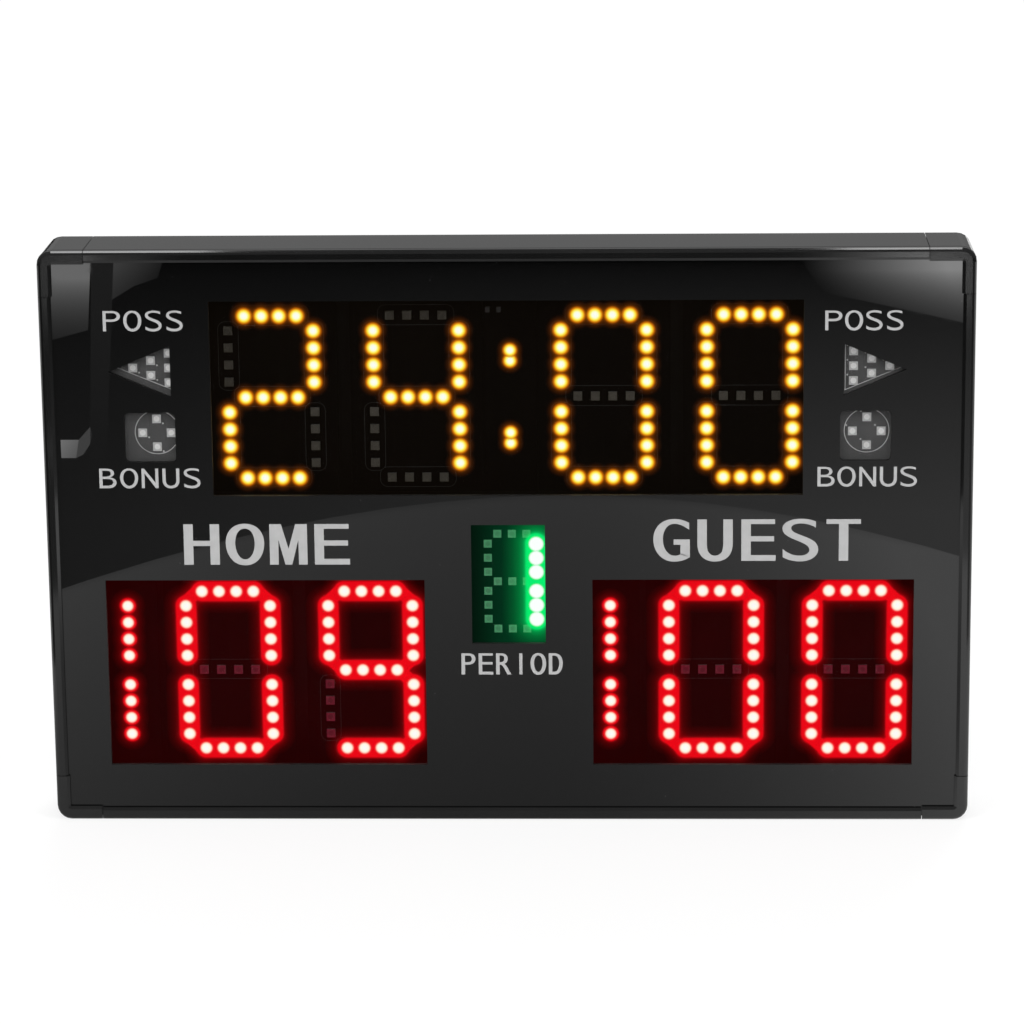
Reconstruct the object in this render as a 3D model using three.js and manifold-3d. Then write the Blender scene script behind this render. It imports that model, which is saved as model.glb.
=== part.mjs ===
// Electronic scoreboard for the edge of a court: an extruded frame with corner caps round a
// gloss face panel, whose windows show digits made of square lamps on boards behind it.
// Millimetres, +Z up. The face looks towards -Y and the board stands on its bottom edge,
// with the origin at the middle of that edge. A depth counts from the frame's front, and a
// place on the face from the face's centre, so a piece moves with the size that it follows.
import * as THREE from 'three';
import { mergeVertices } from 'three/addons/utils/BufferGeometryUtils.js';
import Module from 'manifold-3d';

const wasm = await Module();
wasm.setup();

// Overall size
const BOARD_WIDTH = 530;
const BOARD_HEIGHT = 337;
const BOARD_DEPTH = 48;

// Clearances, and the overrun of every cut
const SEAT_GAP = 0.3;
const JOINT_GAP = 0.4;
const OVERRUN = 1;
const SINK = 0.4;

// Frame bars: one profile, with a bevelled lip, two slots and a rear bead
const FRAME_WALL = 1.8;
const LIP_WIDTH = 7.2;
const LIP_THICKNESS = 2.4;
const LIP_BEVEL_WIDTH = 1.6;
const LIP_BEVEL_DEPTH = 1.2;
const FRONT_EDGE_RADIUS = 2.5;
const REAR_EDGE_RADIUS = 1;
const GROOVE_SETBACK = 3;
const GROOVE_WIDTH = 0.8;
const GROOVE_DEPTH = 0.6;
const RIB_THICKNESS = 1.2;
const RIB_WIDTH = 6.4;
const BEAD_WIDTH = 4.6;
const BEAD_THICKNESS = 1.4;

// Corner caps: the same profile with a wider lip, turned round the corner, and tongues
const CORNER_RADIUS = 8.5;
const CAP_LEG = 26.5;
const CAP_LIP_WIDTH = 8;
const CORNER_STEPS = 5;
const TONGUE_LENGTH = 13;
const TONGUE_ROOT = 9;
const TONGUE_THICKNESS = 2;
const TONGUE_SIDE_GAP = 0.5;

// Face panel and rear cover
const PANEL_THICKNESS = 3;
const COVER_THICKNESS = 1.5;
const COVER_RECESS = 7.5;

// Windows cut through the face panel
const TIMER_SIDE_MARGIN = 96.6;
const TIMER_TOP_MARGIN = 30;
const SCORE_SIDE_MARGIN = 32.7;
const SCORE_BOTTOM_MARGIN = 32.9;
const SCORE_CENTRE_MARGIN = 48.2;
const SCORE_WINDOW_TRIM = 2.2;
const CENTRE_BAND_HEIGHT = 49.9;
const PERIOD_WINDOW_WIDTH = 42.4;
const PERIOD_WINDOW_HEIGHT = 70.5;
const PERIOD_WINDOW_DROP = 17.4;
const INDICATOR_SIDE_MARGIN = 61.3;
const BONUS_WINDOW_SIZE = 29;
const BONUS_WINDOW_RADIUS = 2.8;
const BONUS_WINDOW_DROP = 22.1;
const ARROW_WINDOW_RISE = 16.2;
const ARROW_WINDOW_HEIGHT = 29.8;
const ARROW_INNER_REACH = 12.6;
const ARROW_TIP_REACH = 22.8;

// Smoked filters and clear lenses stuck behind the windows
const FILTER_THICKNESS = 1.5;
const FILTER_LAP = 6;

// Lamp boards
const LAMP_RECESS = 22;
const LAMP_BOARD_SHIFT = 1.6;
const LAMP_SIZE = 5;
const LAMP_HEIGHT = 1.6;
const PCB_THICKNESS = 1.6;
const DIGIT_BOARD_TRIM = 1.2;
const DIGIT_BOARD_GAP = 7.2;
const DIGIT_DROP = 2.9;
const SCORE_DIGIT_DROP = 3.6;
const DIGIT_ROW_INSET = 8.5;
const DIGIT_COLUMN_REACH = 24.5;
const LAMP_PITCH = 10;
const LAMP_WAIST = 8.8;
const LAMP_ROW_CLEARANCE = 8.7;
const SEGMENT_LAMPS = 4;
const TIMER_BOARD_OVERHANG = 6.4;
const COLON_BOARD_WIDTH = 30.6;
const COLON_INNER_REACH = 21;
const COLON_LAMP_PITCH = 6.2;
const COLON_LAMP_SIZE = 4;
const TRIM_CHIP_LENGTH = 3.2;
const TRIM_CHIP_WIDTH = 2.4;
const TRIM_CHIP_PITCH = 6.3;
const TRIM_CHIP_EDGE = 5.4;
const HUNDREDS_OVERHANG = 8.6;
const UNITS_OVERHANG = 3.4;
const HUNDREDS_BOARD_WIDTH = 34;
const HUNDREDS_BOARD_GAP = 3.6;
const PERIOD_BOARD_SIDE_LAP = 2.8;
const PERIOD_BOARD_END_LAP = 3.75;
const PERIOD_DIGIT_DROP = 3.2;
const PERIOD_ROW_INSET = 10.6;
const PERIOD_COLUMN_INSET = 10;
const PERIOD_LAMP_PITCH = 8.4;
const PERIOD_LAMP_WAIST = 5.7;
const PERIOD_ROW_CLEARANCE = 5.9;
const PERIOD_SEGMENT_LAMPS = 3;
const PERIOD_LAMP_SIZE = 3.5;
const INDICATOR_BOARD_WIDTH = 44;
const INDICATOR_BOARD_HEIGHT = 74;
const ARROW_LAMP_DROP = 1.8;
const ARROW_LAMP_PITCH = 10.3;
const ARROW_LAMP_SPREAD = 4.3;
const ARROW_LAMP_SHIFT = 2.4;
const ARROW_LAMP_ROWS = 3;
const BONUS_LAMP_REACH = 8.2;
const BONUS_LAMP_DROP = 1.6;

// Standoffs on the rear of each board, which end on the rear cover
const STANDOFF_RADIUS = 2.6;
const STANDOFF_SIDES = 6;
const STANDOFF_INSET = 5.5;
const LOW_STANDOFF_LENGTH = 3.1;

// Control board behind the right-hand lettering, with its receiver
const CONTROL_BOARD_WIDTH = 150;
const CONTROL_BOARD_HEIGHT = 38;
const CONTROL_BOARD_SIDE_MARGIN = 62;
const CONTROL_BOARD_DROP = 3;
const CHIP_LENGTH = 10;
const CHIP_WIDTH = 6;
const CHIP_HEIGHT = 1.8;
const CHIP_PLACE_SHARES = [-0.12, -0.02, 0.08, 0.18, 0.28];
const CHIP_RISE_SHARE = 0.22;
const PROCESSOR_SIZE = 14;
const PROCESSOR_PLACE_SHARES = [-0.2, -0.1];
const SOCKET_LENGTH = 12;
const SOCKET_WIDTH = 5.6;
const SOCKET_HEIGHT = 6.5;
const SOCKET_PLACE_SHARES = [-0.1, 0.04, 0.18, 0.32];
const SOCKET_DROP_SHARE = 0.3;
const RECEIVER_WIDTH = 24;
const RECEIVER_HEIGHT = 15;
const RECEIVER_THICKNESS = 1;
const RECEIVER_PLACE_SHARE = 0.33;
const RECEIVER_RISE_SHARE = 0.16;
const HEADER_LENGTH = 15;
const HEADER_WIDTH = 2.5;
const SHIELD_SHARE = 0.6;
const SHIELD_HEIGHT = 1.6;

// Power board, inlet and switch, low in the middle of the rear cover
const POWER_BOARD_WIDTH = 64;
const POWER_BOARD_HEIGHT = 28;
const POWER_BOARD_RISE = 28;
const COIL_SIZE = 12;
const COIL_HEIGHT = 6;
const CAPACITOR_RADIUS = 4;
const CAPACITOR_HEIGHT = 9;
const CAPACITOR_PLACE_SHARE = 0.28;
const POWER_SOCKET_SHARE = 0.15;
const ROUND_SIDES = 16;
const CONNECTION_RISE = 62;
const CONNECTION_OFFSET = 18;
const JACK_RADIUS = 5.5;
const JACK_LENGTH = 15;
const JACK_FLANGE_RADIUS = 7;
const JACK_FLANGE_THICKNESS = 2;
const JACK_BORE_RADIUS = 2.9;
const JACK_BORE_DEPTH = 9;
const JACK_PIN_RADIUS = 1.05;
const JACK_PIN_SETBACK = 1;
const NUT_RADIUS = 8;
const NUT_THICKNESS = 2.4;
const ROCKER_RADIUS = 8.6;
const ROCKER_HALF_HEIGHT = 5.2;
const ROCKER_END_RISE = 1.6;
const ROCKER_DIP_RISE = 0.5;
const ROCKER_TILT = 12;
const ROCKER_STEPS = 10;
const ROCKER_AXIS_RISE = 0.2;
const TRUNNION_RADIUS = 1.2;
const TRUNNION_REACH = 0.8;
const SWITCH_WALL = 1.1;
const BEZEL_LAP = 1.9;
const BEZEL_THICKNESS = 1.5;
const BEZEL_RADIUS = 1.5;
const TERMINAL_WIDTH = 4.8;
const TERMINAL_THICKNESS = 0.8;
const TERMINAL_LENGTH = 7;

// Buzzer behind the left-hand lettering, and the slots that let its sound out
const BUZZER_RADIUS = 19;
const BUZZER_DEPTH = 12;
const BUZZER_RIM = 1.5;
const BUZZER_OFFSET = 92;
const BUZZER_DROP = 3;
const BUZZER_HOLE_RADIUS = 5;
const BUZZER_HOLE_DEPTH = 2;
const BUZZER_SIDES = 24;
const SLOT_WIDTH = 2.4;
const SLOT_PITCH = 5;
const SLOT_REACH_SHARES = [0.45, 0.7, 0.78, 0.7, 0.45];

// Folding stand: a bent rod in two saddles on the rear cover
const ROD_RADIUS = 2.5;
const ROD_SIDES = 10;
const ROD_BEND_RADIUS = 10;
const ROD_BEND_STEPS = 4;
const STAND_HALF_WIDTH = 150;
const STAND_FOOT_HALF_WIDTH = 118;
const STAND_PIVOT_DROP = 132;
const STAND_FOOT_RISE = 24;
const STAND_STUB = 26;
const ROD_SETBACK = 4.2;
const SADDLE_WIDTH = 13;
const SADDLE_THICKNESS = 1.2;
const SADDLE_FOOT = 8;
const SADDLE_STEPS = 8;

// Keyhole hangers near the top of the rear cover
const HANGER_OFFSET = 150;
const HANGER_DROP = 44;
const HANGER_WIDTH = 30;
const HANGER_HEIGHT = 38;
const HANGER_THICKNESS = 1.5;
const HANGER_LEG_SETBACK = 1;
const KEYHOLE_RADIUS = 4.8;
const KEYHOLE_SLOT_RADIUS = 2.4;
const KEYHOLE_SLOT_RISE = 12;
const KEYHOLE_DROP = 5;

// Depths behind the frame's front that the pieces share
const panelFront = LIP_THICKNESS + SEAT_GAP;
const panelRear = panelFront + PANEL_THICKNESS;
const frontRib = panelRear + SEAT_GAP;
const filterFront = panelRear + SEAT_GAP;
const lampBoardFront = LAMP_RECESS + LAMP_HEIGHT;
const lampBoardRear = lampBoardFront + PCB_THICKNESS;
const coverRear = BOARD_DEPTH - COVER_RECESS;
const coverFront = coverRear - COVER_THICKNESS;
const innerRearRib = coverFront - SEAT_GAP - RIB_THICKNESS;
const outerRearRib = coverRear + SEAT_GAP;
const rodDepth = BOARD_DEPTH - ROD_SETBACK;
const lampStandoffLength = coverFront - SEAT_GAP - lampBoardRear;
const controlBoardRear = coverFront - SEAT_GAP - LOW_STANDOFF_LENGTH;
const controlBoardFront = controlBoardRear - PCB_THICKNESS;

// Windows, worked out from the margins round them, with places from the face's centre
const halfWidth = BOARD_WIDTH / 2;
const halfHeight = BOARD_HEIGHT / 2;
const windowMargins = TIMER_TOP_MARGIN + CENTRE_BAND_HEIGHT + SCORE_BOTTOM_MARGIN;
const timerWindowHeight = (BOARD_HEIGHT - windowMargins + SCORE_WINDOW_TRIM) / 2;
const scoreWindowHeight = timerWindowHeight - SCORE_WINDOW_TRIM;
const timerWindow = {
  width: BOARD_WIDTH - 2 * TIMER_SIDE_MARGIN,
  height: timerWindowHeight,
  x: 0,
  z: halfHeight - TIMER_TOP_MARGIN - timerWindowHeight / 2,
};
const scoreWindowWidth = halfWidth - SCORE_SIDE_MARGIN - SCORE_CENTRE_MARGIN;
const scoreWindow = (side) => ({
  width: scoreWindowWidth,
  height: scoreWindowHeight,
  x: side * (SCORE_CENTRE_MARGIN + scoreWindowWidth / 2),
  z: SCORE_BOTTOM_MARGIN + scoreWindowHeight / 2 - halfHeight,
});
const periodWindow = {
  width: PERIOD_WINDOW_WIDTH,
  height: PERIOD_WINDOW_HEIGHT,
  x: 0,
  z: timerWindow.z - (timerWindowHeight + PERIOD_WINDOW_HEIGHT) / 2 - PERIOD_WINDOW_DROP,
};
const indicatorOffset = halfWidth - INDICATOR_SIDE_MARGIN;
const arrowHeight = timerWindow.z + ARROW_WINDOW_RISE;
const bonusHeight = timerWindow.z - BONUS_WINDOW_DROP;

// Digit boards, which fill the height of the timer window
const digitBoardHeight = timerWindowHeight - DIGIT_BOARD_TRIM;
const digitRowReach = digitBoardHeight / 2 - DIGIT_ROW_INSET;
const columnPitch = (digitRowReach - LAMP_WAIST - LAMP_ROW_CLEARANCE) / (SEGMENT_LAMPS - 1);

const root = new THREE.Group();
const face = new THREE.Group();
face.position.set(0, -BOARD_DEPTH / 2, halfHeight);
root.add(face);

function finish(color, roughness, metalness = 0) {
  return () => new THREE.MeshStandardMaterial({ color, roughness, metalness });
}

const FRAME_FINISH = finish(0x1b1b1d, 0.35, 0.4);
const CAP_FINISH = finish(0x1a1a1b, 0.45);
const PANEL_FINISH = finish(0x0b0b0c, 0.08);
const FILTER_FINISH = finish(0x101012, 0.2);
const LENS_FINISH = finish(0x8a8c90, 0.1);
const PCB_FINISH = finish(0x121214, 0.55);
const CONTROL_FINISH = finish(0x1f4a2c, 0.5);
const COVER_FINISH = finish(0x202124, 0.5, 0.6);
const PLASTIC_FINISH = finish(0x141416, 0.4);
const STEEL_FINISH = finish(0x9a9ca0, 0.35, 0.9);

function addPiece(name, geometry, material, parent = face, x = 0, depth = 0, z = 0) {
  const mesh = new THREE.Mesh(geometry, material());
  mesh.name = name;
  mesh.position.set(x, depth, z);
  parent.add(mesh);
  return mesh;
}

// A closed mesh as a solid that can be joined and cut, and back again
function solid(geometry) {
  const bare = geometry.clone();
  bare.deleteAttribute('normal');
  bare.deleteAttribute('uv');
  const merged = mergeVertices(bare);
  return new wasm.Manifold(new wasm.Mesh({
    numProp: 3,
    vertProperties: new Float32Array(merged.attributes.position.array),
    triVerts: new Uint32Array(merged.index.array),
  }));
}

function geometryOf(manifold) {
  const mesh = manifold.getMesh();
  const geometry = new THREE.BufferGeometry();
  geometry.setAttribute('position', new THREE.BufferAttribute(mesh.vertProperties, 3));
  geometry.setIndex(new THREE.BufferAttribute(mesh.triVerts, 1));
  geometry.computeVertexNormals();
  return geometry;
}

function joined(...geometries) {
  return geometryOf(geometries.map(solid).reduce((whole, piece) => whole.add(piece)));
}

function cutFrom(geometry, ...cutters) {
  return geometryOf(cutters.map(solid).reduce((whole, piece) => whole.subtract(piece), solid(geometry)));
}

// A block by its size and its middle
function block(width, depth, height, x = 0, y = 0, z = 0) {
  return new THREE.BoxGeometry(width, depth, height).translate(x, y, z);
}

// A round bar along Y by its radius and length, from y to y + length
function barAlongY(radius, length, sides, x, y, z) {
  return new THREE.CylinderGeometry(radius, radius, length, sides).translate(x, y + length / 2, z);
}

// A shape drawn on the face, X right and Z up, as a sheet from y = 0 back to its thickness
function sheet(shape, thickness, curveSegments = 4) {
  const settings = { depth: thickness, bevelEnabled: false, curveSegments };
  return new THREE.ExtrudeGeometry(shape, settings).rotateX(Math.PI / 2).translate(0, thickness, 0);
}

function roundedOutline(path, width, height, radius, x = 0, z = 0) {
  const right = x + width / 2 - radius;
  const left = x - width / 2 + radius;
  const top = z + height / 2 - radius;
  const bottom = z - height / 2 + radius;
  path.absarc(right, bottom, radius, -Math.PI / 2, 0);
  path.absarc(right, top, radius, 0, Math.PI / 2);
  path.absarc(left, top, radius, Math.PI / 2, Math.PI);
  path.absarc(left, bottom, radius, Math.PI, Math.PI * 1.5);
  return path;
}

// A sheet with holes cut right through it
function pierced(shape, thickness, holes, curveSegments = 4) {
  const cutters = holes.map((hole) => (
    sheet(hole, thickness + 2 * OVERRUN, curveSegments).translate(0, -OVERRUN, 0)
  ));
  return cutFrom(sheet(shape, thickness, curveSegments), ...cutters);
}

function outline(path, points) {
  path.setFromPoints(points.map(([x, z]) => new THREE.Vector2(x, z)));
  path.closePath();
  return path;
}

function circle(path, radius, sides, x = 0, z = 0) {
  const points = [];
  for (let side = 0; side < sides; side += 1) {
    const angle = (Math.PI * 2 * side) / sides;
    points.push([x + radius * Math.cos(angle), z + radius * Math.sin(angle)]);
  }
  return outline(path, points);
}

function rectangle(path, { width, height, x, z }) {
  const right = x + width / 2;
  const left = x - width / 2;
  const top = z + height / 2;
  const bottom = z - height / 2;
  return outline(path, [[left, bottom], [right, bottom], [right, top], [left, top]]);
}

// The bars' profile: u runs inwards from the outer face, v back from the front. The place
// function turns u and v into the shape's own axes.
function frameProfile(lipWidth, place) {
  const shape = new THREE.Shape();
  const line = (u, v) => shape.lineTo(...place(u, v));
  const rib = (v) => {
    line(FRAME_WALL, v);
    line(RIB_WIDTH, v);
    line(RIB_WIDTH, v + RIB_THICKNESS);
    line(FRAME_WALL, v + RIB_THICKNESS);
  };
  const round = (radius, cornerV, from, steps = 3) => {
    for (let step = 0; step <= steps; step += 1) {
      const angle = from + (Math.PI / 2) * (step / steps);
      line(radius + radius * Math.cos(angle), cornerV + radius * Math.sin(angle));
    }
  };
  shape.moveTo(...place(lipWidth - LIP_BEVEL_WIDTH, 0));
  line(lipWidth, LIP_BEVEL_DEPTH);
  line(lipWidth, LIP_THICKNESS);
  line(FRAME_WALL, LIP_THICKNESS);
  rib(frontRib);
  rib(innerRearRib);
  rib(outerRearRib);
  line(FRAME_WALL, BOARD_DEPTH - BEAD_THICKNESS);
  line(BEAD_WIDTH, BOARD_DEPTH - BEAD_THICKNESS);
  line(BEAD_WIDTH, BOARD_DEPTH);
  round(REAR_EDGE_RADIUS, BOARD_DEPTH - REAR_EDGE_RADIUS, Math.PI / 2, 2);
  line(0, GROOVE_SETBACK + GROOVE_WIDTH);
  line(GROOVE_DEPTH, GROOVE_SETBACK + GROOVE_WIDTH);
  line(GROOVE_DEPTH, GROOVE_SETBACK);
  line(0, GROOVE_SETBACK);
  round(FRONT_EDGE_RADIUS, FRONT_EDGE_RADIUS, Math.PI);
  shape.closePath();
  return shape;
}

// A path of straight runs with round bends, in which a straight run is a single step
class BentPath extends THREE.Curve {
  constructor(corners, radius, bendSteps) {
    super();
    this.stations = [];
    corners.forEach((corner, index) => this.addCorner(corners, corner, index, radius, bendSteps));
    this.steps = this.stations.length - 1;
  }

  addCorner(corners, corner, index, radius, bendSteps) {
    const before = corners[index - 1] ?? corner;
    const after = corners[index + 1] ?? corner;
    const arriving = corner.clone().sub(before).normalize();
    const leaving = after.clone().sub(corner).normalize();
    if (index === 0 || index === corners.length - 1) {
      this.stations.push({ point: corner.clone(), tangent: index === 0 ? leaving : arriving });
      return;
    }
    const turn = arriving.angleTo(leaving);
    const axis = arriving.clone().cross(leaving).normalize();
    const start = corner.clone().addScaledVector(arriving, -radius * Math.tan(turn / 2));
    const spoke = arriving.clone().cross(axis).multiplyScalar(radius);
    const centre = start.clone().sub(spoke);
    for (let step = 0; step <= bendSteps; step += 1) {
      const angle = turn * (step / bendSteps);
      this.stations.push({
        point: centre.clone().add(spoke.clone().applyAxisAngle(axis, angle)),
        tangent: arriving.clone().applyAxisAngle(axis, angle),
      });
    }
  }

  getUtoTmapping(u) {
    return u;
  }

  getPoint(t, target = new THREE.Vector3()) {
    return target.copy(this.stations[Math.round(t * this.steps)].point);
  }

  getTangent(t, target = new THREE.Vector3()) {
    return target.copy(this.stations[Math.round(t * this.steps)].tangent);
  }
}

function swept(shape, path) {
  return new THREE.ExtrudeGeometry(shape, { steps: path.steps, extrudePath: path, curveSegments: 1 });
}

// A corner cap, its corner at the origin, one leg up +Z and the other along +X
function cornerCap() {
  const path = new BentPath([
    new THREE.Vector3(0, 0, CAP_LEG),
    new THREE.Vector3(0, 0, 0),
    new THREE.Vector3(CAP_LEG, 0, 0),
  ], CORNER_RADIUS, CORNER_STEPS);
  const skin = swept(frameProfile(CAP_LIP_WIDTH, (u, v) => [-v, -u]), path);
  const tongueFront = frontRib + RIB_THICKNESS + TONGUE_SIDE_GAP;
  const tongueDepth = innerRearRib - TONGUE_SIDE_GAP - tongueFront;
  const middle = tongueFront + tongueDepth / 2;
  const tongueInset = FRAME_WALL + SEAT_GAP + TONGUE_THICKNESS / 2;
  const rootThickness = TONGUE_THICKNESS + SEAT_GAP + SINK;
  const rootInset = FRAME_WALL - SINK + rootThickness / 2;
  const reach = TONGUE_LENGTH + 2 * SINK;
  const along = CAP_LEG - 2 * SINK + reach / 2;
  const rootAlong = CAP_LEG - TONGUE_ROOT / 2;
  return joined(
    skin,
    block(TONGUE_THICKNESS, tongueDepth, reach, tongueInset, middle, along),
    block(reach, tongueDepth, TONGUE_THICKNESS, along, middle, tongueInset),
    block(rootThickness, tongueDepth, TONGUE_ROOT, rootInset, middle, rootAlong),
    block(TONGUE_ROOT, tongueDepth, rootThickness, rootAlong, middle, rootInset),
  );
}

// Four bars and four caps, one of each to a corner, turned a quarter turn from the last
function addFrame() {
  const corners = [
    ['corner_cap_bottom_left', 'frame_left', -halfWidth, -halfHeight, BOARD_HEIGHT],
    ['corner_cap_top_left', 'frame_top', -halfWidth, halfHeight, BOARD_WIDTH],
    ['corner_cap_top_right', 'frame_right', halfWidth, halfHeight, BOARD_HEIGHT],
    ['corner_cap_bottom_right', 'frame_bottom', halfWidth, -halfHeight, BOARD_WIDTH],
  ];
  corners.forEach(([capName, barName, x, z, side], index) => {
    const corner = new THREE.Group();
    corner.position.set(x, 0, z);
    corner.rotation.y = (Math.PI / 2) * index;
    face.add(corner);
    addPiece(capName, cornerCap(), CAP_FINISH, corner);
    const bar = new THREE.ExtrudeGeometry(
      frameProfile(LIP_WIDTH, (u, v) => [u, v]),
      { depth: side - 2 * (CAP_LEG + JOINT_GAP), bevelEnabled: false, curveSegments: 1 },
    );
    addPiece(barName, bar, FRAME_FINISH, corner, 0, 0, CAP_LEG + JOINT_GAP);
  });
}

// The outline that the slots hold, for the face panel and the rear cover alike
function slottedSheet() {
  const inset = FRAME_WALL + SEAT_GAP;
  const width = BOARD_WIDTH - 2 * inset;
  const height = BOARD_HEIGHT - 2 * inset;
  return roundedOutline(new THREE.Shape(), width, height, CORNER_RADIUS - inset);
}

function arrowWindow(side) {
  const x = (reach) => side * (indicatorOffset + reach);
  const low = arrowHeight - ARROW_WINDOW_HEIGHT / 2;
  const high = arrowHeight + ARROW_WINDOW_HEIGHT / 2;
  return outline(new THREE.Shape(), [
    [x(-ARROW_INNER_REACH), low],
    [x(ARROW_TIP_REACH), arrowHeight],
    [x(-ARROW_INNER_REACH), high],
  ]);
}

function addFacePanel() {
  const windows = [timerWindow, scoreWindow(-1), scoreWindow(1), periodWindow];
  const holes = windows.map((window) => rectangle(new THREE.Shape(), window));
  [-1, 1].forEach((side) => {
    holes.push(arrowWindow(side));
    holes.push(roundedOutline(new THREE.Shape(), BONUS_WINDOW_SIZE, BONUS_WINDOW_SIZE,
      BONUS_WINDOW_RADIUS, side * indicatorOffset, bonusHeight));
  });
  const panel = pierced(slottedSheet(), PANEL_THICKNESS, holes);
  addPiece('face_panel', panel, PANEL_FINISH, face, 0, panelFront);
}

function addFilter(name, { width, height, x, z }, material) {
  const filter = block(width + 2 * FILTER_LAP, FILTER_THICKNESS, height + 2 * FILTER_LAP);
  addPiece(name, filter, material, face, x, filterFront + FILTER_THICKNESS / 2, z);
}

function addFilters() {
  addFilter('timer_filter', timerWindow, FILTER_FINISH);
  addFilter('home_filter', scoreWindow(-1), FILTER_FINISH);
  addFilter('guest_filter', scoreWindow(1), FILTER_FINISH);
  addFilter('period_filter', periodWindow, FILTER_FINISH);
  const top = arrowHeight + ARROW_WINDOW_HEIGHT / 2;
  const bottom = bonusHeight - BONUS_WINDOW_SIZE / 2;
  const reach = (ARROW_TIP_REACH - BONUS_WINDOW_SIZE / 2) / 2;
  [[-1, 'left_indicator_lens'], [1, 'right_indicator_lens']].forEach(([side, name]) => {
    const lens = {
      width: ARROW_TIP_REACH + BONUS_WINDOW_SIZE / 2 - FILTER_LAP,
      height: top - bottom - FILTER_LAP,
      x: side * (indicatorOffset + reach),
      z: (top + bottom) / 2,
    };
    addFilter(name, lens, LENS_FINISH);
  });
}

// Places of a seven-segment digit's lamps: three rows, and two columns above and below
function segmentLamps({ rowReach, columnReach, rowPitch, waist, rise, count }) {
  const places = [];
  for (let lamp = 0; lamp < count; lamp += 1) {
    const along = (lamp - (count - 1) / 2) * rowPitch;
    const up = waist + lamp * rise;
    [-rowReach, 0, rowReach].forEach((z) => places.push([along, z]));
    [-columnReach, columnReach].forEach((x) => places.push([x, up], [x, -up]));
  }
  return places;
}

function columnLamps() {
  const places = [];
  for (let lamp = 0; lamp < SEGMENT_LAMPS; lamp += 1) {
    const up = LAMP_WAIST + lamp * columnPitch;
    places.push([0, up], [0, -up]);
  }
  return places;
}

function lampBlock([x, z], width, height = width) {
  return block(width, LAMP_HEIGHT + SINK, height, x, (SINK - LAMP_HEIGHT) / 2, z);
}

// A bare board, its front face at y = 0, on standoffs near its corners, or near its ends
// where it is narrow
function boardOnStandoffs({ width, height, columns }, length) {
  const reach = width / 2 - STANDOFF_INSET;
  const rise = height / 2 - STANDOFF_INSET;
  const places = columns === 1 ? [0] : [-reach, reach];
  const feet = places.flatMap((x) => [-rise, rise].map((z) => (
    barAlongY(STANDOFF_RADIUS, length + SINK, STANDOFF_SIDES, x, PCB_THICKNESS - SINK, z)
  )));
  return [block(width, PCB_THICKNESS, height, 0, PCB_THICKNESS / 2), ...feet];
}

function addLampBoard(board) {
  const { name, x, z, lamps, size = LAMP_SIZE, extras = [] } = board;
  const packages = lamps.map((place) => lampBlock(place, size));
  const geometry = joined(...boardOnStandoffs(board, lampStandoffLength), ...packages, ...extras);
  addPiece(name, geometry, PCB_FINISH, face, x + LAMP_BOARD_SHIFT, lampBoardFront, z);
}

const digitLamps = segmentLamps({
  rowReach: digitRowReach, columnReach: DIGIT_COLUMN_REACH, rowPitch: LAMP_PITCH,
  waist: LAMP_WAIST, rise: columnPitch, count: SEGMENT_LAMPS,
});

function timerBoards() {
  const z = timerWindow.z - DIGIT_DROP;
  const colonHalf = COLON_BOARD_WIDTH / 2 + SEAT_GAP;
  const room = timerWindow.width / 2 + TIMER_BOARD_OVERHANG - colonHalf;
  const width = (room - DIGIT_BOARD_GAP) / 2;
  const inner = colonHalf + width / 2;
  const outer = inner + width + DIGIT_BOARD_GAP;
  const digits = [[-outer, 'minutes_tens'], [-inner, 'minutes_units'], [inner, 'seconds_tens'],
    [outer, 'seconds_units']];
  const boards = digits.map(([x, place]) => ({
    name: `${place}_board`, x, z, width, height: digitBoardHeight, lamps: digitLamps, columns: 2,
  }));
  const reaches = [COLON_INNER_REACH, COLON_INNER_REACH + COLON_LAMP_PITCH];
  const chipZ = digitBoardHeight / 2 - TRIM_CHIP_EDGE;
  const chips = [-2, -1].map((step) => (
    lampBlock([step * TRIM_CHIP_PITCH, chipZ], TRIM_CHIP_WIDTH, TRIM_CHIP_LENGTH)
  ));
  boards.push({
    name: 'colon_board', x: 0, z, width: COLON_BOARD_WIDTH, height: digitBoardHeight,
    lamps: reaches.flatMap((reach) => [[0, reach], [0, -reach]]), size: COLON_LAMP_SIZE,
    extras: chips, columns: 1,
  });
  return boards;
}

function scoreBoards(side, team) {
  const window = scoreWindow(side);
  const z = window.z - SCORE_DIGIT_DROP;
  const left = window.x - window.width / 2 - HUNDREDS_OVERHANG;
  const overhangs = HUNDREDS_OVERHANG + UNITS_OVERHANG;
  const gaps = HUNDREDS_BOARD_GAP + DIGIT_BOARD_GAP;
  const width = (window.width + overhangs - HUNDREDS_BOARD_WIDTH - gaps) / 2;
  const tens = left + HUNDREDS_BOARD_WIDTH + HUNDREDS_BOARD_GAP + width / 2;
  const units = tens + width + DIGIT_BOARD_GAP;
  const height = digitBoardHeight;
  return [
    {
      name: `${team}_hundreds_board`, x: left + HUNDREDS_BOARD_WIDTH / 2, z,
      width: HUNDREDS_BOARD_WIDTH, height, lamps: columnLamps(), columns: 1,
    },
    { name: `${team}_tens_board`, x: tens, z, width, height, lamps: digitLamps, columns: 2 },
    { name: `${team}_units_board`, x: units, z, width, height, lamps: digitLamps, columns: 2 },
  ];
}

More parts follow.
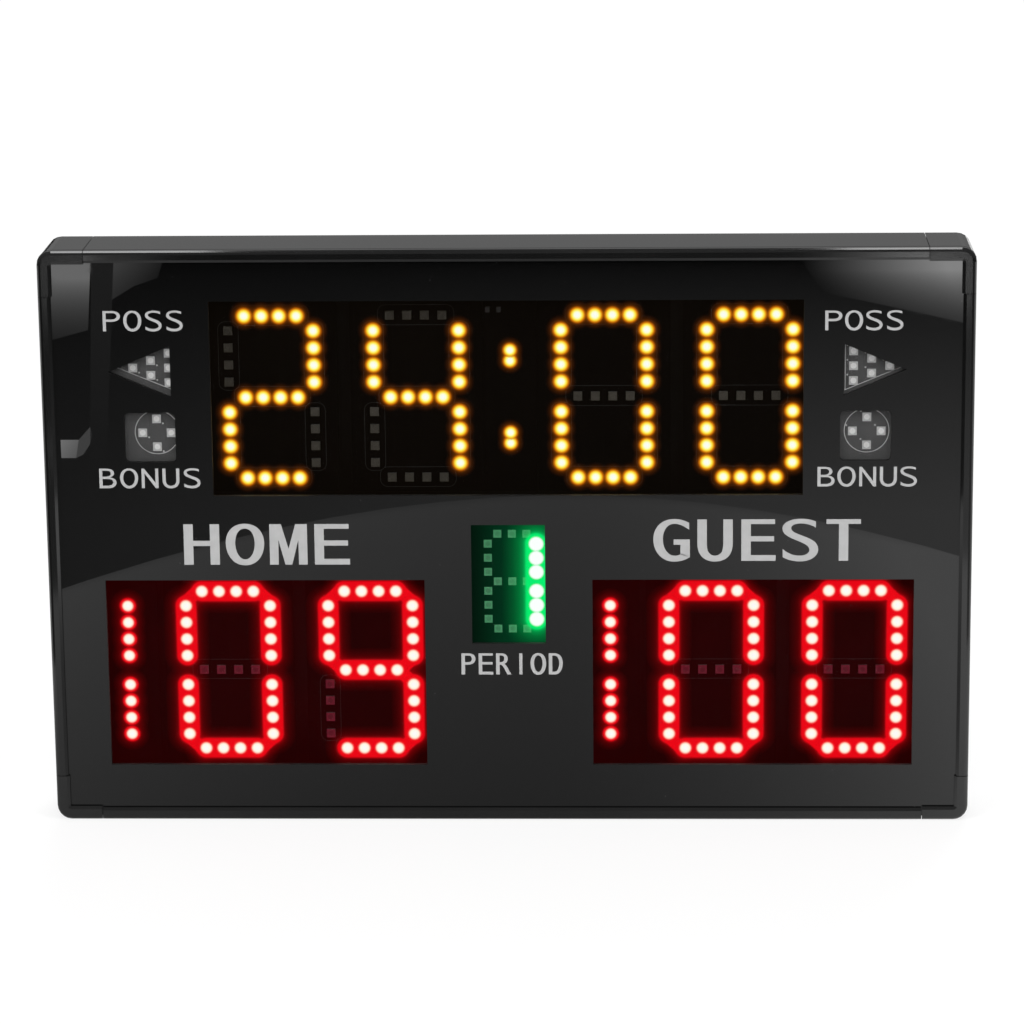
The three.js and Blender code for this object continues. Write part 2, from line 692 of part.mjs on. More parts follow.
function periodBoard() {
  const width = PERIOD_WINDOW_WIDTH + 2 * PERIOD_BOARD_SIDE_LAP;
  const height = PERIOD_WINDOW_HEIGHT + 2 * PERIOD_BOARD_END_LAP;
  const rowReach = height / 2 - PERIOD_ROW_INSET;
  const rise = (rowReach - PERIOD_LAMP_WAIST - PERIOD_ROW_CLEARANCE) / (PERIOD_SEGMENT_LAMPS - 1);
  const lamps = segmentLamps({
    rowReach, columnReach: width / 2 - PERIOD_COLUMN_INSET, rowPitch: PERIOD_LAMP_PITCH,
    waist: PERIOD_LAMP_WAIST, rise, count: PERIOD_SEGMENT_LAMPS,
  });
  const z = periodWindow.z - PERIOD_DIGIT_DROP;
  return { name: 'period_board', x: 0, z, width, height, lamps, size: PERIOD_LAMP_SIZE, columns: 2 };
}

// A board with a triangle of lamps that points outwards and a ring of four below it
function indicatorBoard(side, name) {
  const z = (arrowHeight + bonusHeight) / 2 - ARROW_LAMP_DROP;
  const arrowZ = arrowHeight - ARROW_LAMP_DROP - z;
  const bonusZ = bonusHeight - BONUS_LAMP_DROP - z;
  const lamps = [];
  for (let row = 0; row < ARROW_LAMP_ROWS; row += 1) {
    const x = side * (ARROW_LAMP_SHIFT + (1 - row) * ARROW_LAMP_PITCH);
    for (let lamp = 0; lamp <= row; lamp += 1) {
      lamps.push([x, arrowZ + (2 * lamp - row) * ARROW_LAMP_SPREAD]);
    }
  }
  for (let quarter = 0; quarter < 4; quarter += 1) {
    const angle = (Math.PI / 2) * quarter;
    lamps.push([BONUS_LAMP_REACH * Math.cos(angle), bonusZ + BONUS_LAMP_REACH * Math.sin(angle)]);
  }
  return {
    name, x: side * indicatorOffset, z, lamps,
    width: INDICATOR_BOARD_WIDTH, height: INDICATOR_BOARD_HEIGHT, columns: 1,
  };
}

const lampBoards = [
  ...timerBoards(),
  ...scoreBoards(-1, 'home'),
  ...scoreBoards(1, 'guest'),
  periodBoard(),
  indicatorBoard(-1, 'left_indicator_board'),
  indicatorBoard(1, 'right_indicator_board'),
];
const controlBoard = {
  x: halfWidth - CONTROL_BOARD_SIDE_MARGIN - CONTROL_BOARD_WIDTH / 2, z: -CONTROL_BOARD_DROP,
  width: CONTROL_BOARD_WIDTH, height: CONTROL_BOARD_HEIGHT, columns: 2,
};
const powerBoard = {
  x: 0, z: POWER_BOARD_RISE - halfHeight,
  width: POWER_BOARD_WIDTH, height: POWER_BOARD_HEIGHT, columns: 2,
};

const connectionZ = CONNECTION_RISE - halfHeight;
const switchHalfLength = ROCKER_RADIUS + SEAT_GAP + SWITCH_WALL;
const switchHalfHeight = ROCKER_HALF_HEIGHT + SEAT_GAP + SWITCH_WALL;
const switchPlace = { x: CONNECTION_OFFSET, z: connectionZ };

function soundSlots() {
  return SLOT_REACH_SHARES.map((share, index) => {
    const z = (index - (SLOT_REACH_SHARES.length - 1) / 2) * SLOT_PITCH - BUZZER_DROP;
    const width = 2 * BUZZER_RADIUS * share;
    return rectangle(new THREE.Shape(), { x: -BUZZER_OFFSET, z, width, height: SLOT_WIDTH });
  });
}

function addRearCover() {
  const clear = 2 * SEAT_GAP;
  const switchHole = rectangle(new THREE.Shape(), {
    ...switchPlace, width: 2 * switchHalfLength + clear, height: 2 * switchHalfHeight + clear,
  });
  const jackHole = circle(new THREE.Shape(), JACK_RADIUS + SEAT_GAP, ROUND_SIDES,
    -CONNECTION_OFFSET, connectionZ);
  const cover = pierced(slottedSheet(), COVER_THICKNESS, [switchHole, jackHole, ...soundSlots()]);
  addPiece('rear_cover', cover, COVER_FINISH, face, 0, coverFront);
}

// A part on a circuit board: its place as shares of the board's size, standing forwards
function mounted(board, [shareX, shareZ], width, height, depth) {
  return block(width, depth + SINK, height,
    board.width * shareX, SINK / 2 - depth / 2, board.height * shareZ);
}

function addControlBoard() {
  const board = controlBoard;
  const parts = boardOnStandoffs(board, LOW_STANDOFF_LENGTH);
  parts.push(mounted(board, PROCESSOR_PLACE_SHARES, PROCESSOR_SIZE, PROCESSOR_SIZE, CHIP_HEIGHT));
  CHIP_PLACE_SHARES.forEach((share) => {
    parts.push(mounted(board, [share, CHIP_RISE_SHARE], CHIP_WIDTH, CHIP_LENGTH, CHIP_HEIGHT));
  });
  SOCKET_PLACE_SHARES.forEach((share) => {
    parts.push(mounted(board, [share, -SOCKET_DROP_SHARE], SOCKET_LENGTH, SOCKET_WIDTH, SOCKET_HEIGHT));
  });
  addPiece('control_board', joined(...parts), CONTROL_FINISH, face, board.x, controlBoardFront, board.z);
  const receiver = joined(
    block(RECEIVER_WIDTH, RECEIVER_THICKNESS, RECEIVER_HEIGHT, 0, RECEIVER_THICKNESS / 2),
    block(HEADER_LENGTH, HEADER_WIDTH + SINK, HEADER_WIDTH, 0,
      RECEIVER_THICKNESS + (HEADER_WIDTH - SINK) / 2, HEADER_WIDTH - RECEIVER_HEIGHT / 2),
    block(RECEIVER_WIDTH * SHIELD_SHARE, SHIELD_HEIGHT + SINK, RECEIVER_HEIGHT * SHIELD_SHARE,
      0, (SINK - SHIELD_HEIGHT) / 2),
  );
  const receiverDepth = controlBoardFront - SEAT_GAP - HEADER_WIDTH - RECEIVER_THICKNESS;
  addPiece('receiver_board', receiver, CONTROL_FINISH, face, board.x - board.width * RECEIVER_PLACE_SHARE,
    receiverDepth, board.z + board.height * RECEIVER_RISE_SHARE);
}

function addPowerBoard() {
  const board = powerBoard;
  const pair = (side) => [
    mounted(board, [side * POWER_SOCKET_SHARE, -SOCKET_DROP_SHARE], SOCKET_LENGTH, SOCKET_WIDTH,
      SOCKET_HEIGHT),
    barAlongY(CAPACITOR_RADIUS, CAPACITOR_HEIGHT + SINK, ROUND_SIDES,
      side * board.width * CAPACITOR_PLACE_SHARE, -CAPACITOR_HEIGHT, 0),
  ];
  addPiece('power_board', joined(
    ...boardOnStandoffs(board, LOW_STANDOFF_LENGTH),
    mounted(board, [0, 0], COIL_SIZE, COIL_SIZE, COIL_HEIGHT),
    ...pair(-1),
    ...pair(1),
  ), CONTROL_FINISH, face, board.x, controlBoardFront, board.z);
}

// The power inlet: a round barrel with a centre pin, clamped by a nut behind the cover
function addJack() {
  const flangeTop = JACK_FLANGE_THICKNESS;
  const floor = flangeTop - JACK_BORE_DEPTH;
  const points = [
    [0, -JACK_LENGTH], [JACK_RADIUS, -JACK_LENGTH], [JACK_RADIUS, 0], [JACK_FLANGE_RADIUS, 0],
    [JACK_FLANGE_RADIUS, flangeTop], [JACK_BORE_RADIUS, flangeTop], [JACK_BORE_RADIUS, floor],
    [JACK_PIN_RADIUS, floor], [JACK_PIN_RADIUS, flangeTop - JACK_PIN_SETBACK],
    [0, flangeTop - JACK_PIN_SETBACK],
  ].map(([radius, y]) => new THREE.Vector2(radius, y));
  const jackDepth = coverRear + SEAT_GAP;
  const jack = new THREE.LatheGeometry(points, ROUND_SIDES);
  addPiece('power_inlet', jack, PLASTIC_FINISH, face, -CONNECTION_OFFSET, jackDepth, connectionZ);
  const nut = cutFrom(
    barAlongY(NUT_RADIUS, NUT_THICKNESS, STANDOFF_SIDES, 0, 0, 0),
    barAlongY(JACK_RADIUS + SEAT_GAP, NUT_THICKNESS + 2 * OVERRUN, ROUND_SIDES, 0, -OVERRUN, 0),
  );
  const nutDepth = coverFront - SEAT_GAP - NUT_THICKNESS;
  addPiece('inlet_nut', nut, STEEL_FINISH, face, -CONNECTION_OFFSET, nutDepth, connectionZ);
}

// The rocker's side view: a round belly about its axis, and a shallow dip on top
function rockerOutline() {
  const half = Math.sqrt(ROCKER_RADIUS ** 2 - ROCKER_END_RISE ** 2);
  const start = Math.atan2(ROCKER_END_RISE, half);
  const points = [[0, ROCKER_DIP_RISE]];
  for (let step = 0; step <= ROCKER_STEPS; step += 1) {
    const angle = Math.PI - start + (Math.PI + 2 * start) * (step / ROCKER_STEPS);
    points.push([ROCKER_RADIUS * Math.cos(angle), ROCKER_RADIUS * Math.sin(angle)]);
  }
  return outline(new THREE.Shape(), points);
}

function crossPin(radius, halfLength) {
  return new THREE.CylinderGeometry(radius, radius, 2 * halfLength, ROUND_SIDES).rotateX(Math.PI / 2);
}

function addPowerSwitch() {
  const axisDepth = coverRear + ROCKER_AXIS_RISE;
  const rockerHeight = 2 * ROCKER_HALF_HEIGHT;
  const body = new THREE.ExtrudeGeometry(rockerOutline(), { depth: rockerHeight, bevelEnabled: false });
  const trunnionHalf = ROCKER_HALF_HEIGHT + TRUNNION_REACH;
  const rocker = addPiece('power_rocker',
    joined(body.translate(0, 0, -ROCKER_HALF_HEIGHT), crossPin(TRUNNION_RADIUS, trunnionHalf)),
    PLASTIC_FINISH, face, switchPlace.x, axisDepth, switchPlace.z);
  rocker.rotation.z = -THREE.MathUtils.degToRad(ROCKER_TILT);

  const bezelFront = SEAT_GAP - ROCKER_AXIS_RISE;
  const bezelRear = bezelFront + BEZEL_THICKNESS;
  const pocketFloor = -ROCKER_RADIUS - SEAT_GAP;
  const bodyFront = pocketFloor - SWITCH_WALL;
  const bodyDepth = bezelFront + SINK - bodyFront;
  const bezelShape = roundedOutline(new THREE.Shape(), 2 * (switchHalfLength + BEZEL_LAP),
    2 * (switchHalfHeight + BEZEL_LAP), BEZEL_RADIUS);
  const shell = joined(
    sheet(bezelShape, BEZEL_THICKNESS, 3).translate(0, bezelFront, 0),
    block(2 * switchHalfLength, bodyDepth, 2 * switchHalfHeight, 0, bodyFront + bodyDepth / 2),
    ...[-1, 1].map((side) => block(TERMINAL_THICKNESS, TERMINAL_LENGTH + SINK, TERMINAL_WIDTH,
      side * ROCKER_HALF_HEIGHT, bodyFront + (SINK - TERMINAL_LENGTH) / 2)),
  );
  const pocketDepth = bezelRear + OVERRUN - pocketFloor;
  const pocket = block(2 * (switchHalfLength - SWITCH_WALL), pocketDepth,
    2 * (switchHalfHeight - SWITCH_WALL), 0, pocketFloor + pocketDepth / 2);
  const socket = crossPin(TRUNNION_RADIUS + SEAT_GAP, switchHalfHeight + OVERRUN + BEZEL_LAP);
  addPiece('switch_housing', cutFrom(shell, pocket, socket), PLASTIC_FINISH, face,
    switchPlace.x, axisDepth, switchPlace.z);
}

function addBuzzer() {
  const points = [
    [0, -BUZZER_DEPTH], [BUZZER_RADIUS - BUZZER_RIM, -BUZZER_DEPTH],
    [BUZZER_RADIUS, BUZZER_RIM - BUZZER_DEPTH], [BUZZER_RADIUS, 0],
    [BUZZER_HOLE_RADIUS, 0], [BUZZER_HOLE_RADIUS, -BUZZER_HOLE_DEPTH], [0, -BUZZER_HOLE_DEPTH],
  ].map(([radius, y]) => new THREE.Vector2(radius, y));
  const buzzer = new THREE.LatheGeometry(points, BUZZER_SIDES);
  addPiece('buzzer', buzzer, PLASTIC_FINISH, face, -BUZZER_OFFSET, coverFront - SEAT_GAP, -BUZZER_DROP);
}

// The stand hangs folded from its pivots, its rod in the recess behind the cover
function addStand() {
  const fall = BOARD_HEIGHT - STAND_PIVOT_DROP - STAND_FOOT_RISE;
  const inner = STAND_HALF_WIDTH - STAND_STUB;
  const corners = [
    [-inner, 0], [-STAND_HALF_WIDTH, 0], [-STAND_FOOT_HALF_WIDTH, -fall],
    [STAND_FOOT_HALF_WIDTH, -fall], [STAND_HALF_WIDTH, 0], [inner, 0],
  ].map(([x, z]) => new THREE.Vector3(x, 0, z));
  const section = circle(new THREE.Shape(), ROD_RADIUS, ROD_SIDES);
  const path = new BentPath(corners, ROD_BEND_RADIUS, ROD_BEND_STEPS);
  const rod = swept(section, path);
  const pivotZ = halfHeight - STAND_PIVOT_DROP;
  addPiece('stand_bail', rod, STEEL_FINISH, face, 0, rodDepth, pivotZ);
  [[-1, 'stand_saddle_left'], [1, 'stand_saddle_right']].forEach(([side, name]) => {
    const middle = inner + SADDLE_WIDTH / 2;
    const saddle = addPiece(name, saddleGeometry(), STEEL_FINISH, face, side * middle, rodDepth, pivotZ);
    saddle.rotation.y = Math.PI / 2;
  });
}

// A strip bent over the rod: two feet on the cover and a round arch, drawn as Z across, Y back
function saddleGeometry() {
  const foot = coverRear + SEAT_GAP - rodDepth;
  const inside = ROD_RADIUS + SEAT_GAP;
  const outside = inside + SADDLE_THICKNESS;
  const reach = outside + SADDLE_FOOT;
  const arch = (radius, from, to) => {
    const points = [];
    for (let step = 0; step <= SADDLE_STEPS; step += 1) {
      const angle = from + (to - from) * (step / SADDLE_STEPS);
      points.push([radius * Math.cos(angle), radius * Math.sin(angle)]);
    }
    return points;
  };
  const footTop = foot + SADDLE_THICKNESS;
  const shape = outline(new THREE.Shape(), [
    [inside, foot], [reach, foot], [reach, footTop], [outside, footTop],
    ...arch(outside, 0, Math.PI),
    [-outside, footTop], [-reach, footTop], [-reach, foot], [-inside, foot],
    ...arch(inside, Math.PI, 0),
  ]);
  const strip = new THREE.ExtrudeGeometry(shape, { depth: SADDLE_WIDTH, bevelEnabled: false });
  return strip.translate(0, 0, -SADDLE_WIDTH / 2);
}

// A hanger: a shallow channel with a keyhole in its web, standing off the cover
function hangerGeometry() {
  const plate = roundedOutline(new THREE.Shape(), HANGER_WIDTH, HANGER_HEIGHT, HANGER_THICKNESS);
  const keyhole = new THREE.Shape();
  const half = Math.asin(KEYHOLE_SLOT_RADIUS / KEYHOLE_RADIUS);
  const start = Math.PI / 2 + half;
  keyhole.absarc(0, -KEYHOLE_DROP, KEYHOLE_RADIUS, start, start + 2 * (Math.PI - half));
  keyhole.absarc(0, KEYHOLE_SLOT_RISE - KEYHOLE_DROP, KEYHOLE_SLOT_RADIUS, 0, Math.PI);
  const web = pierced(plate, HANGER_THICKNESS, [keyhole], 5);
  const legDepth = BOARD_DEPTH - HANGER_LEG_SETBACK - coverRear - SEAT_GAP;
  const legY = HANGER_THICKNESS - legDepth / 2;
  const legX = (HANGER_WIDTH - HANGER_THICKNESS) / 2;
  const legHeight = HANGER_HEIGHT - 2 * HANGER_THICKNESS;
  const legs = [-legX, legX].map((x) => block(HANGER_THICKNESS, legDepth, legHeight, x, legY));
  return joined(web, ...legs);
}

function addHangers() {
  const depth = BOARD_DEPTH - HANGER_LEG_SETBACK - HANGER_THICKNESS;
  [[-1, 'hanger_left'], [1, 'hanger_right']].forEach(([side, name]) => {
    addPiece(name, hangerGeometry(), STEEL_FINISH, face, side * HANGER_OFFSET, depth,
      halfHeight - HANGER_DROP);
  });
}

addFrame();
addFacePanel();
addFilters();
lampBoards.forEach(addLampBoard);
addRearCover();
addControlBoard();
addPowerBoard();
addJack();
addPowerSwitch();
addBuzzer();
addStand();
addHangers();

export default root;
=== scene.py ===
# %% [markdown]
# # A court-side scoreboard, dressed
# The board stands on its bottom edge: a black frame, a gloss face with windows, and lamps on
# circuit boards behind them. Its solids come ready from the CAD model. This lesson gives them
# their finishes and adds what is too fine for solids: lit lamps, words, printed lines, screws.
# Everything is in metres in the CAD model's own frame, so no piece has to be fitted by eye.

# %% Load the solids
import math

import bmesh
import bpy
from mathutils import Matrix, Vector


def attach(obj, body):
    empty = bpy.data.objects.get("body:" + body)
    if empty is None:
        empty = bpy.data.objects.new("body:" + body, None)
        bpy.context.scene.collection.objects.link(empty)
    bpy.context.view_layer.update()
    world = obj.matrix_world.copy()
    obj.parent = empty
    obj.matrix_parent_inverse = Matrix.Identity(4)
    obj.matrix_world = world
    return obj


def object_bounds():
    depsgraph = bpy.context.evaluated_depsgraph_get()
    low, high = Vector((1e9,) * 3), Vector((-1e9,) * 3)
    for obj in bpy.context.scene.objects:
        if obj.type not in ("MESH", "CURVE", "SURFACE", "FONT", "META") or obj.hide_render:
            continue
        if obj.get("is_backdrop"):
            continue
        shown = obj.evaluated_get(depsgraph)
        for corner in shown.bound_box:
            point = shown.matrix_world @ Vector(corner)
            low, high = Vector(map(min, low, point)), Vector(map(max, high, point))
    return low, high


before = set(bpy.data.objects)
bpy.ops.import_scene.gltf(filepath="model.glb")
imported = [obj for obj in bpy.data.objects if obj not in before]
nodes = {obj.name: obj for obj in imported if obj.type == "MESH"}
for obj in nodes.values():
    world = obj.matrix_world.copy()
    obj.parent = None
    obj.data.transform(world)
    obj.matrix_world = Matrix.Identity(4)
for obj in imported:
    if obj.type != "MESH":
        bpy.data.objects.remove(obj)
cad_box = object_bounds()
print("nodes", len(nodes), "box in mm", [round(1000 * (b - a), 1) for a, b in zip(*cad_box)])

# %% [markdown]
# Sizes are easier to read in millimetres. A place on the face is counted from the face's
# centre, as someone with a ruler would, and its depth is the Y of the CAD frame: the lip of
# the frame lies at -24 and the board's rear plane at 24. One helper turns the two into metres.

# %% Millimetres and places on the face
MM = 0.001
FACE_CENTRE = 168.5
PANEL_FRONT = -21.3
LAMP_FACE = -2.0
BOARD_FRONT = -0.4


def at(x, depth, z):
    """A place on the face, in mm from its centre, as a point of the frame in metres."""
    return Vector((x, depth, z + FACE_CENTRE)) * MM


print("face centre", at(0, 0, 0))

# %% [markdown]
# Every piece starts as a bmesh and ends as a mesh on an object at the origin. An operator on a
# bmesh hands back a mixed list, of which most steps want only the points or only the edges.
# Flat shapes are drawn looking up, and are then stood up to look at the viewer.

# %% Mesh and object helpers
def add_object(name, data):
    made = bpy.data.objects.new(name, data)
    bpy.context.scene.collection.objects.link(made)
    return made


def mesh_of(work, name, *materials):
    mesh = bpy.data.meshes.new(name)
    work.to_mesh(mesh)
    work.free()
    for material in materials:
        mesh.materials.append(material)
    return mesh


def verts_of(geom):
    return [part for part in geom if isinstance(part, bmesh.types.BMVert)]


def edges_of(geom):
    return [part for part in geom if isinstance(part, bmesh.types.BMEdge)]


def stand_up(work, degrees=90):
    """Turns what looks up so that it looks to the front, or at -90 degrees to the rear."""
    tilt = Matrix.Rotation(math.radians(degrees), 3, "X")
    bmesh.ops.rotate(work, verts=work.verts[:], matrix=tilt)


print("mesh helpers ready")

# %% [markdown]
# The camera stands where the photographer stood: about 2.3 m in front of the face, 14 degrees
# above it, a little to one side. The lens is long, which is why the board's edges run nearly
# straight. Its three turns and its offset were fitted to the board's outline and lamps, and
# they count in the picture's own axes: right, down and into the depth.

# %% Camera
PICTURE = 1024
FOCAL_PIXELS = 4051.2
CAMERA_TURNS = {"Z": -0.6220, "X": 14.0266, "Y": 2.0971}
CAMERA_OFFSET = Vector((-2.462, 15.781, 2316.84))

turn = Matrix.Identity(3)
for axis, angle in CAMERA_TURNS.items():
    turn = turn @ Matrix.Rotation(math.radians(angle), 3, axis)
eye = -(turn.transposed() @ CAMERA_OFFSET)
right, down, ahead = (Vector((row.x, row.z, -row.y)) for row in turn)

camera = add_object("camera", bpy.data.cameras.new("camera"))
camera.data.sensor_width = 36
camera.data.lens = FOCAL_PIXELS * camera.data.sensor_width / PICTURE
camera.data.clip_start, camera.data.clip_end = 0.05, 50
camera.matrix_world = (Matrix.Translation(at(eye.x, eye.z - 24, -eye.y))
                       @ Matrix((right, -down, -ahead)).transposed().to_4x4())
bpy.context.scene.camera = camera
print("camera at", camera.matrix_world.translation, "lens", round(camera.data.lens, 2))

# %% [markdown]
# A finish is a tree of shader nodes, and clicking it together is slow to read back. Two small
# classes write it as Python instead. `Value` wraps a socket, so `1 - mask * 0.5` adds its
# Math nodes by itself. `Finish` makes any other node from its type, its settings and what
# goes into its sockets, either a number or another `Value`.

# %% Shader helpers
class Value:
    """A node's output that Python's operators work on."""

    def __init__(self, finish, socket):
        self.finish, self.socket = finish, socket

    def __add__(self, other):
        return self.finish.maths("ADD", self, other)

    def __sub__(self, other):
        return self.finish.maths("SUBTRACT", self, other)

    def __rsub__(self, other):
        return self.finish.maths("SUBTRACT", other, self)

    def __mul__(self, other):
        return self.finish.maths("MULTIPLY", self, other)

    def __truediv__(self, other):
        return self.finish.maths("DIVIDE", self, other)

    def __lt__(self, other):
        return self.finish.maths("LESS_THAN", self, other)

    def __abs__(self):
        return self.finish.maths("ABSOLUTE", self)

    __radd__, __rmul__ = __add__, __mul__


class Finish:
    """A material, or a world, and the nodes that make it."""

    def __init__(self, name, owner=None):
        self.owner = owner or bpy.data.materials.new(name)
        self.owner.use_nodes = True
        self.tree = self.owner.node_tree
        self.tree.nodes.clear()

    def node(self, kind, settings=None, inputs=None, out=0):
        made = self.tree.nodes.new(kind)
        for key, value in (settings or {}).items():
            if key == "stops":
                for stop in list(made.color_ramp.elements)[1:]:
                    made.color_ramp.elements.remove(stop)
                made.color_ramp.elements[0].position, made.color_ramp.elements[0].color = value[0]
                for place, color in value[1:]:
                    made.color_ramp.elements.new(place).color = color
            else:
                setattr(made, key, value)
        pairs = inputs.items() if isinstance(inputs, dict) else enumerate(inputs or ())
        for key, value in pairs:
            if isinstance(value, Value):
                self.tree.links.new(value.socket, made.inputs[key])
            else:
                made.inputs[key].default_value = value
        return Value(self, made.outputs[out])

    def maths(self, operation, *values):
        return self.node("ShaderNodeMath", {"operation": operation}, values)

    def mix(self, share, first, second):
        """Blends two colours, which the Mix node takes at sockets 6 and 7 and gives at 2."""
        sockets = {0: share, 6: first, 7: second}
        return self.node("ShaderNodeMix", {"data_type": "RGBA"}, sockets, 2)

    def place(self):
        return self.node("ShaderNodeTexCoord", out="Object")

    def axes(self, vector=None):
        split = self.node("ShaderNodeSeparateXYZ", inputs=[vector or self.place()])
        return [Value(self, socket) for socket in split.socket.node.outputs]

    def noise(self, size, detail=3.0, stretch=(1, 1, 1), rough=0.55):
        """A cloud pattern whose lumps are about size millimetres."""
        spot = self.node("ShaderNodeMapping", inputs={"Vector": self.place(), "Scale": stretch})
        return self.node("ShaderNodeTexNoise", inputs={
            "Vector": spot, "Scale": 1 / (size * MM), "Detail": detail, "Roughness": rough})

    def ramp(self, value, *stops):
        return self.node("ShaderNodeValToRGB", {"stops": stops}, [value])

    def step(self, value, low, high):
        """0 below low, 1 above high, smooth between."""
        return self.node("ShaderNodeMapRange", {"interpolation_type": "SMOOTHSTEP"}, {
            "Value": value, "From Min": low, "From Max": high})

    def bump(self, height, depth, strength=1.0):
        """Raises the surface by depth millimetres where height is 1."""
        return self.node("ShaderNodeBump", inputs={
            "Height": height, "Distance": depth * MM, "Strength": strength})

    def rays(self):
        """Two masks: the rays that the camera sends, and those that gloss and glass send on."""
        ray = self.node("ShaderNodeLightPath").socket.node.outputs
        kinds = ("Is Camera Ray", "Is Glossy Ray", "Is Transmission Ray")
        on_camera, on_gloss, through = [Value(self, ray[kind]) for kind in kinds]
        return on_camera, self.maths("MAXIMUM", on_gloss, through)

    def surface(self, **sockets):
        named = {key.replace("_", " "): value for key, value in sockets.items()}
        shader = self.node("ShaderNodeBsdfPrincipled", inputs=named)
        self.end(shader)
        return self.owner

    def end(self, shader, kind="ShaderNodeOutputMaterial"):
        target = self.tree.nodes.new(kind)
        self.tree.links.new(shader.socket, target.inputs["Surface"])


def grey(level):
    return (level, level, level, 1)


def shade(tone, share=1.0):
    """A colour, made darker or paler by a share."""
    return tuple(share * level for level in tone[:3]) + (1,)


def srgb(*levels):
    """A colour read off a picture, 0 to 255, as the linear colour that shaders use."""
    shares = [level / 255 for level in levels]
    linear = [s / 12.92 if s <= 0.04045 else ((s + 0.055) / 1.055) ** 2.4 for s in shares]
    return (*linear, 1)


print("shader helpers ready")

# %% [markdown]
# The studio is a white table with a curved front edge, over a dark floor. The gloss face works
# as a mirror that tilts the view down: its lower half shows the table, its upper half the dark
# beyond, with the table's edge as an arc between them. So the table's white has to be known
# from place to place: it is paler to the sides, darker in the middle near the board, which is
# painted shade of the board in what the face mirrors, and it falls off at its edge. The camera
# sees plain white, and a part of that white is real light, so that the board's shadow stays on it.

# %% Table
TABLE_REACH = 810
TABLE_ARC = 225
TABLE_MIDDLE = 15
TABLE_LEAST_REACH = 84
TABLE_HALF = 5000
TABLE_LIT_SHARE = 0.3
TABLE_RIM = 25
RIM_SHADE = 0.85
TABLE_SHADED_TONE, TABLE_FADE = 0.326, 0.4
DARKEST, PALEST = 0.3, 1.3
LEFT_RISE, RIGHT_RISE = 2.8, 10.5


def table_front(x):
    """How far in front of the board's middle the table ends."""
    return max(TABLE_LEAST_REACH, TABLE_REACH - (x - TABLE_MIDDLE) ** 2 / (2 * TABLE_ARC))


table = bmesh.new()
bmesh.ops.create_grid(table, x_segments=250, y_segments=1, size=TABLE_HALF * MM)
for corner in table.verts:
    if corner.co.y < 0:
        corner.co.y = -table_front(corner.co.x / MM) * MM

paint = Finish("white_table")
seen, mirrored = paint.rays()
x, y, z = paint.axes()
off_middle = x - TABLE_MIDDLE * MM
inward = y + TABLE_REACH * MM - off_middle * off_middle / (2 * TABLE_ARC * MM)
rim = RIM_SHADE + paint.step(inward, 0.0, TABLE_RIM * MM) * (1 - RIM_SHADE)
# What gloss sees of the table is painted: darker in the middle near the board as painted shade of
# the board, paler to the sides.
to_sides = x * x * (LEFT_RISE + paint.step(x, -0.02, 0.02) * (RIGHT_RISE - LEFT_RISE))
tone = paint.maths("MAXIMUM", TABLE_SHADED_TONE - y * TABLE_FADE, DARKEST) + to_sides
tone = paint.maths("MINIMUM", tone * rim, PALEST)
far = paint.step(abs(x) + abs(y), 0.9, 1.8)
share = paint.maths("MAXIMUM", mirrored, seen * (1 - TABLE_LIT_SHARE * (1 - far)))
lit = paint.node("ShaderNodeBsdfDiffuse", inputs={"Color": grey(0.9)})
white = paint.node("ShaderNodeEmission", inputs={"Color": paint.mix(seen, tone, grey(1.02))})
paint.end(paint.node("ShaderNodeMixShader", inputs=[share, lit, white]))

floor = add_object("table", mesh_of(table, "table", paint.owner))
floor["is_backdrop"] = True
print("table", len(floor.data.polygons), "faces, front edge at", TABLE_REACH, "mm")

# %% [markdown]
# The world gives the soft light of a white room. To the camera it is plain white. A gloss
# surface sees it pale above the horizon, and below it a floor that is dark far off and paler
# near the table: how steeply a ray goes down tells how near. Light that falls on matt
# surfaces comes from the world too, and soft boxes do the rest. They stay out of gloss
# surfaces, because the photographed frame mirrors no lamp in its front and top edges.

# %% World and soft boxes
FLOOR_DARK_SLOPE = 0.186
FLOOR_PALE_SLOPE = 0.25

world = bpy.data.worlds.new("studio")
bpy.context.scene.world = world
sky = Finish("studio", world)
seen, mirrored = sky.rays()
across, along, height = sky.axes(sky.node("ShaderNodeTexCoord", out="Generated"))
slope = 0 - height / sky.maths("SQRT", across * across + along * along + 1e-6)
near = sky.node("ShaderNodeMapRange", inputs={
    "Value": slope, "From Min": FLOOR_DARK_SLOPE, "From Max": FLOOR_PALE_SLOPE})
below = sky.maths("POWER", near, 0.75) * 0.45 * (0.32 + 1.5 * sky.step(across, -0.2, 0.2))
below = below * (1 - 0.6 * sky.step(abs(across), 0.3, 0.6))
rear_ceiling = sky.step(along, 0.1, 0.6) * sky.step(height, 0.3, 0.6)
above = sky.step(height, -0.01, 0.06) * (0.28 + 0.56 * rear_ceiling)
tone = sky.mix(mirrored, grey(0.45), below + above)
tone = sky.mix(seen, tone, grey(1.0))
sky.end(sky.node("ShaderNodeBackground", inputs={"Color": tone}), "ShaderNodeOutputWorld")

SOFT_BOXES = {
    "left_box": ((-1.9, -1.6, 2.1), 1.6, 46),
    "right_box": ((2.0, -1.4, 1.9), 1.4, 34),
    "front_box": ((0.2, -2.6, 1.5), 0.9, 26),
    "back_box": ((0.3, 2.3, 2.2), 1.8, 52),
}
for name, (place, size, power) in SOFT_BOXES.items():
    lamp = bpy.data.lights.new(name, "AREA")
    lamp.size, lamp.energy = size, power
    holder = add_object(name, lamp)
    holder.location = place
    holder.visible_glossy = False
    aim = Vector((0, 0, 0.15)) - holder.location
    holder.rotation_euler = aim.to_track_quat("-Z", "Y").to_euler()
    print(name, power, "W")

view = bpy.context.scene.view_settings
view.view_transform = "Standard"

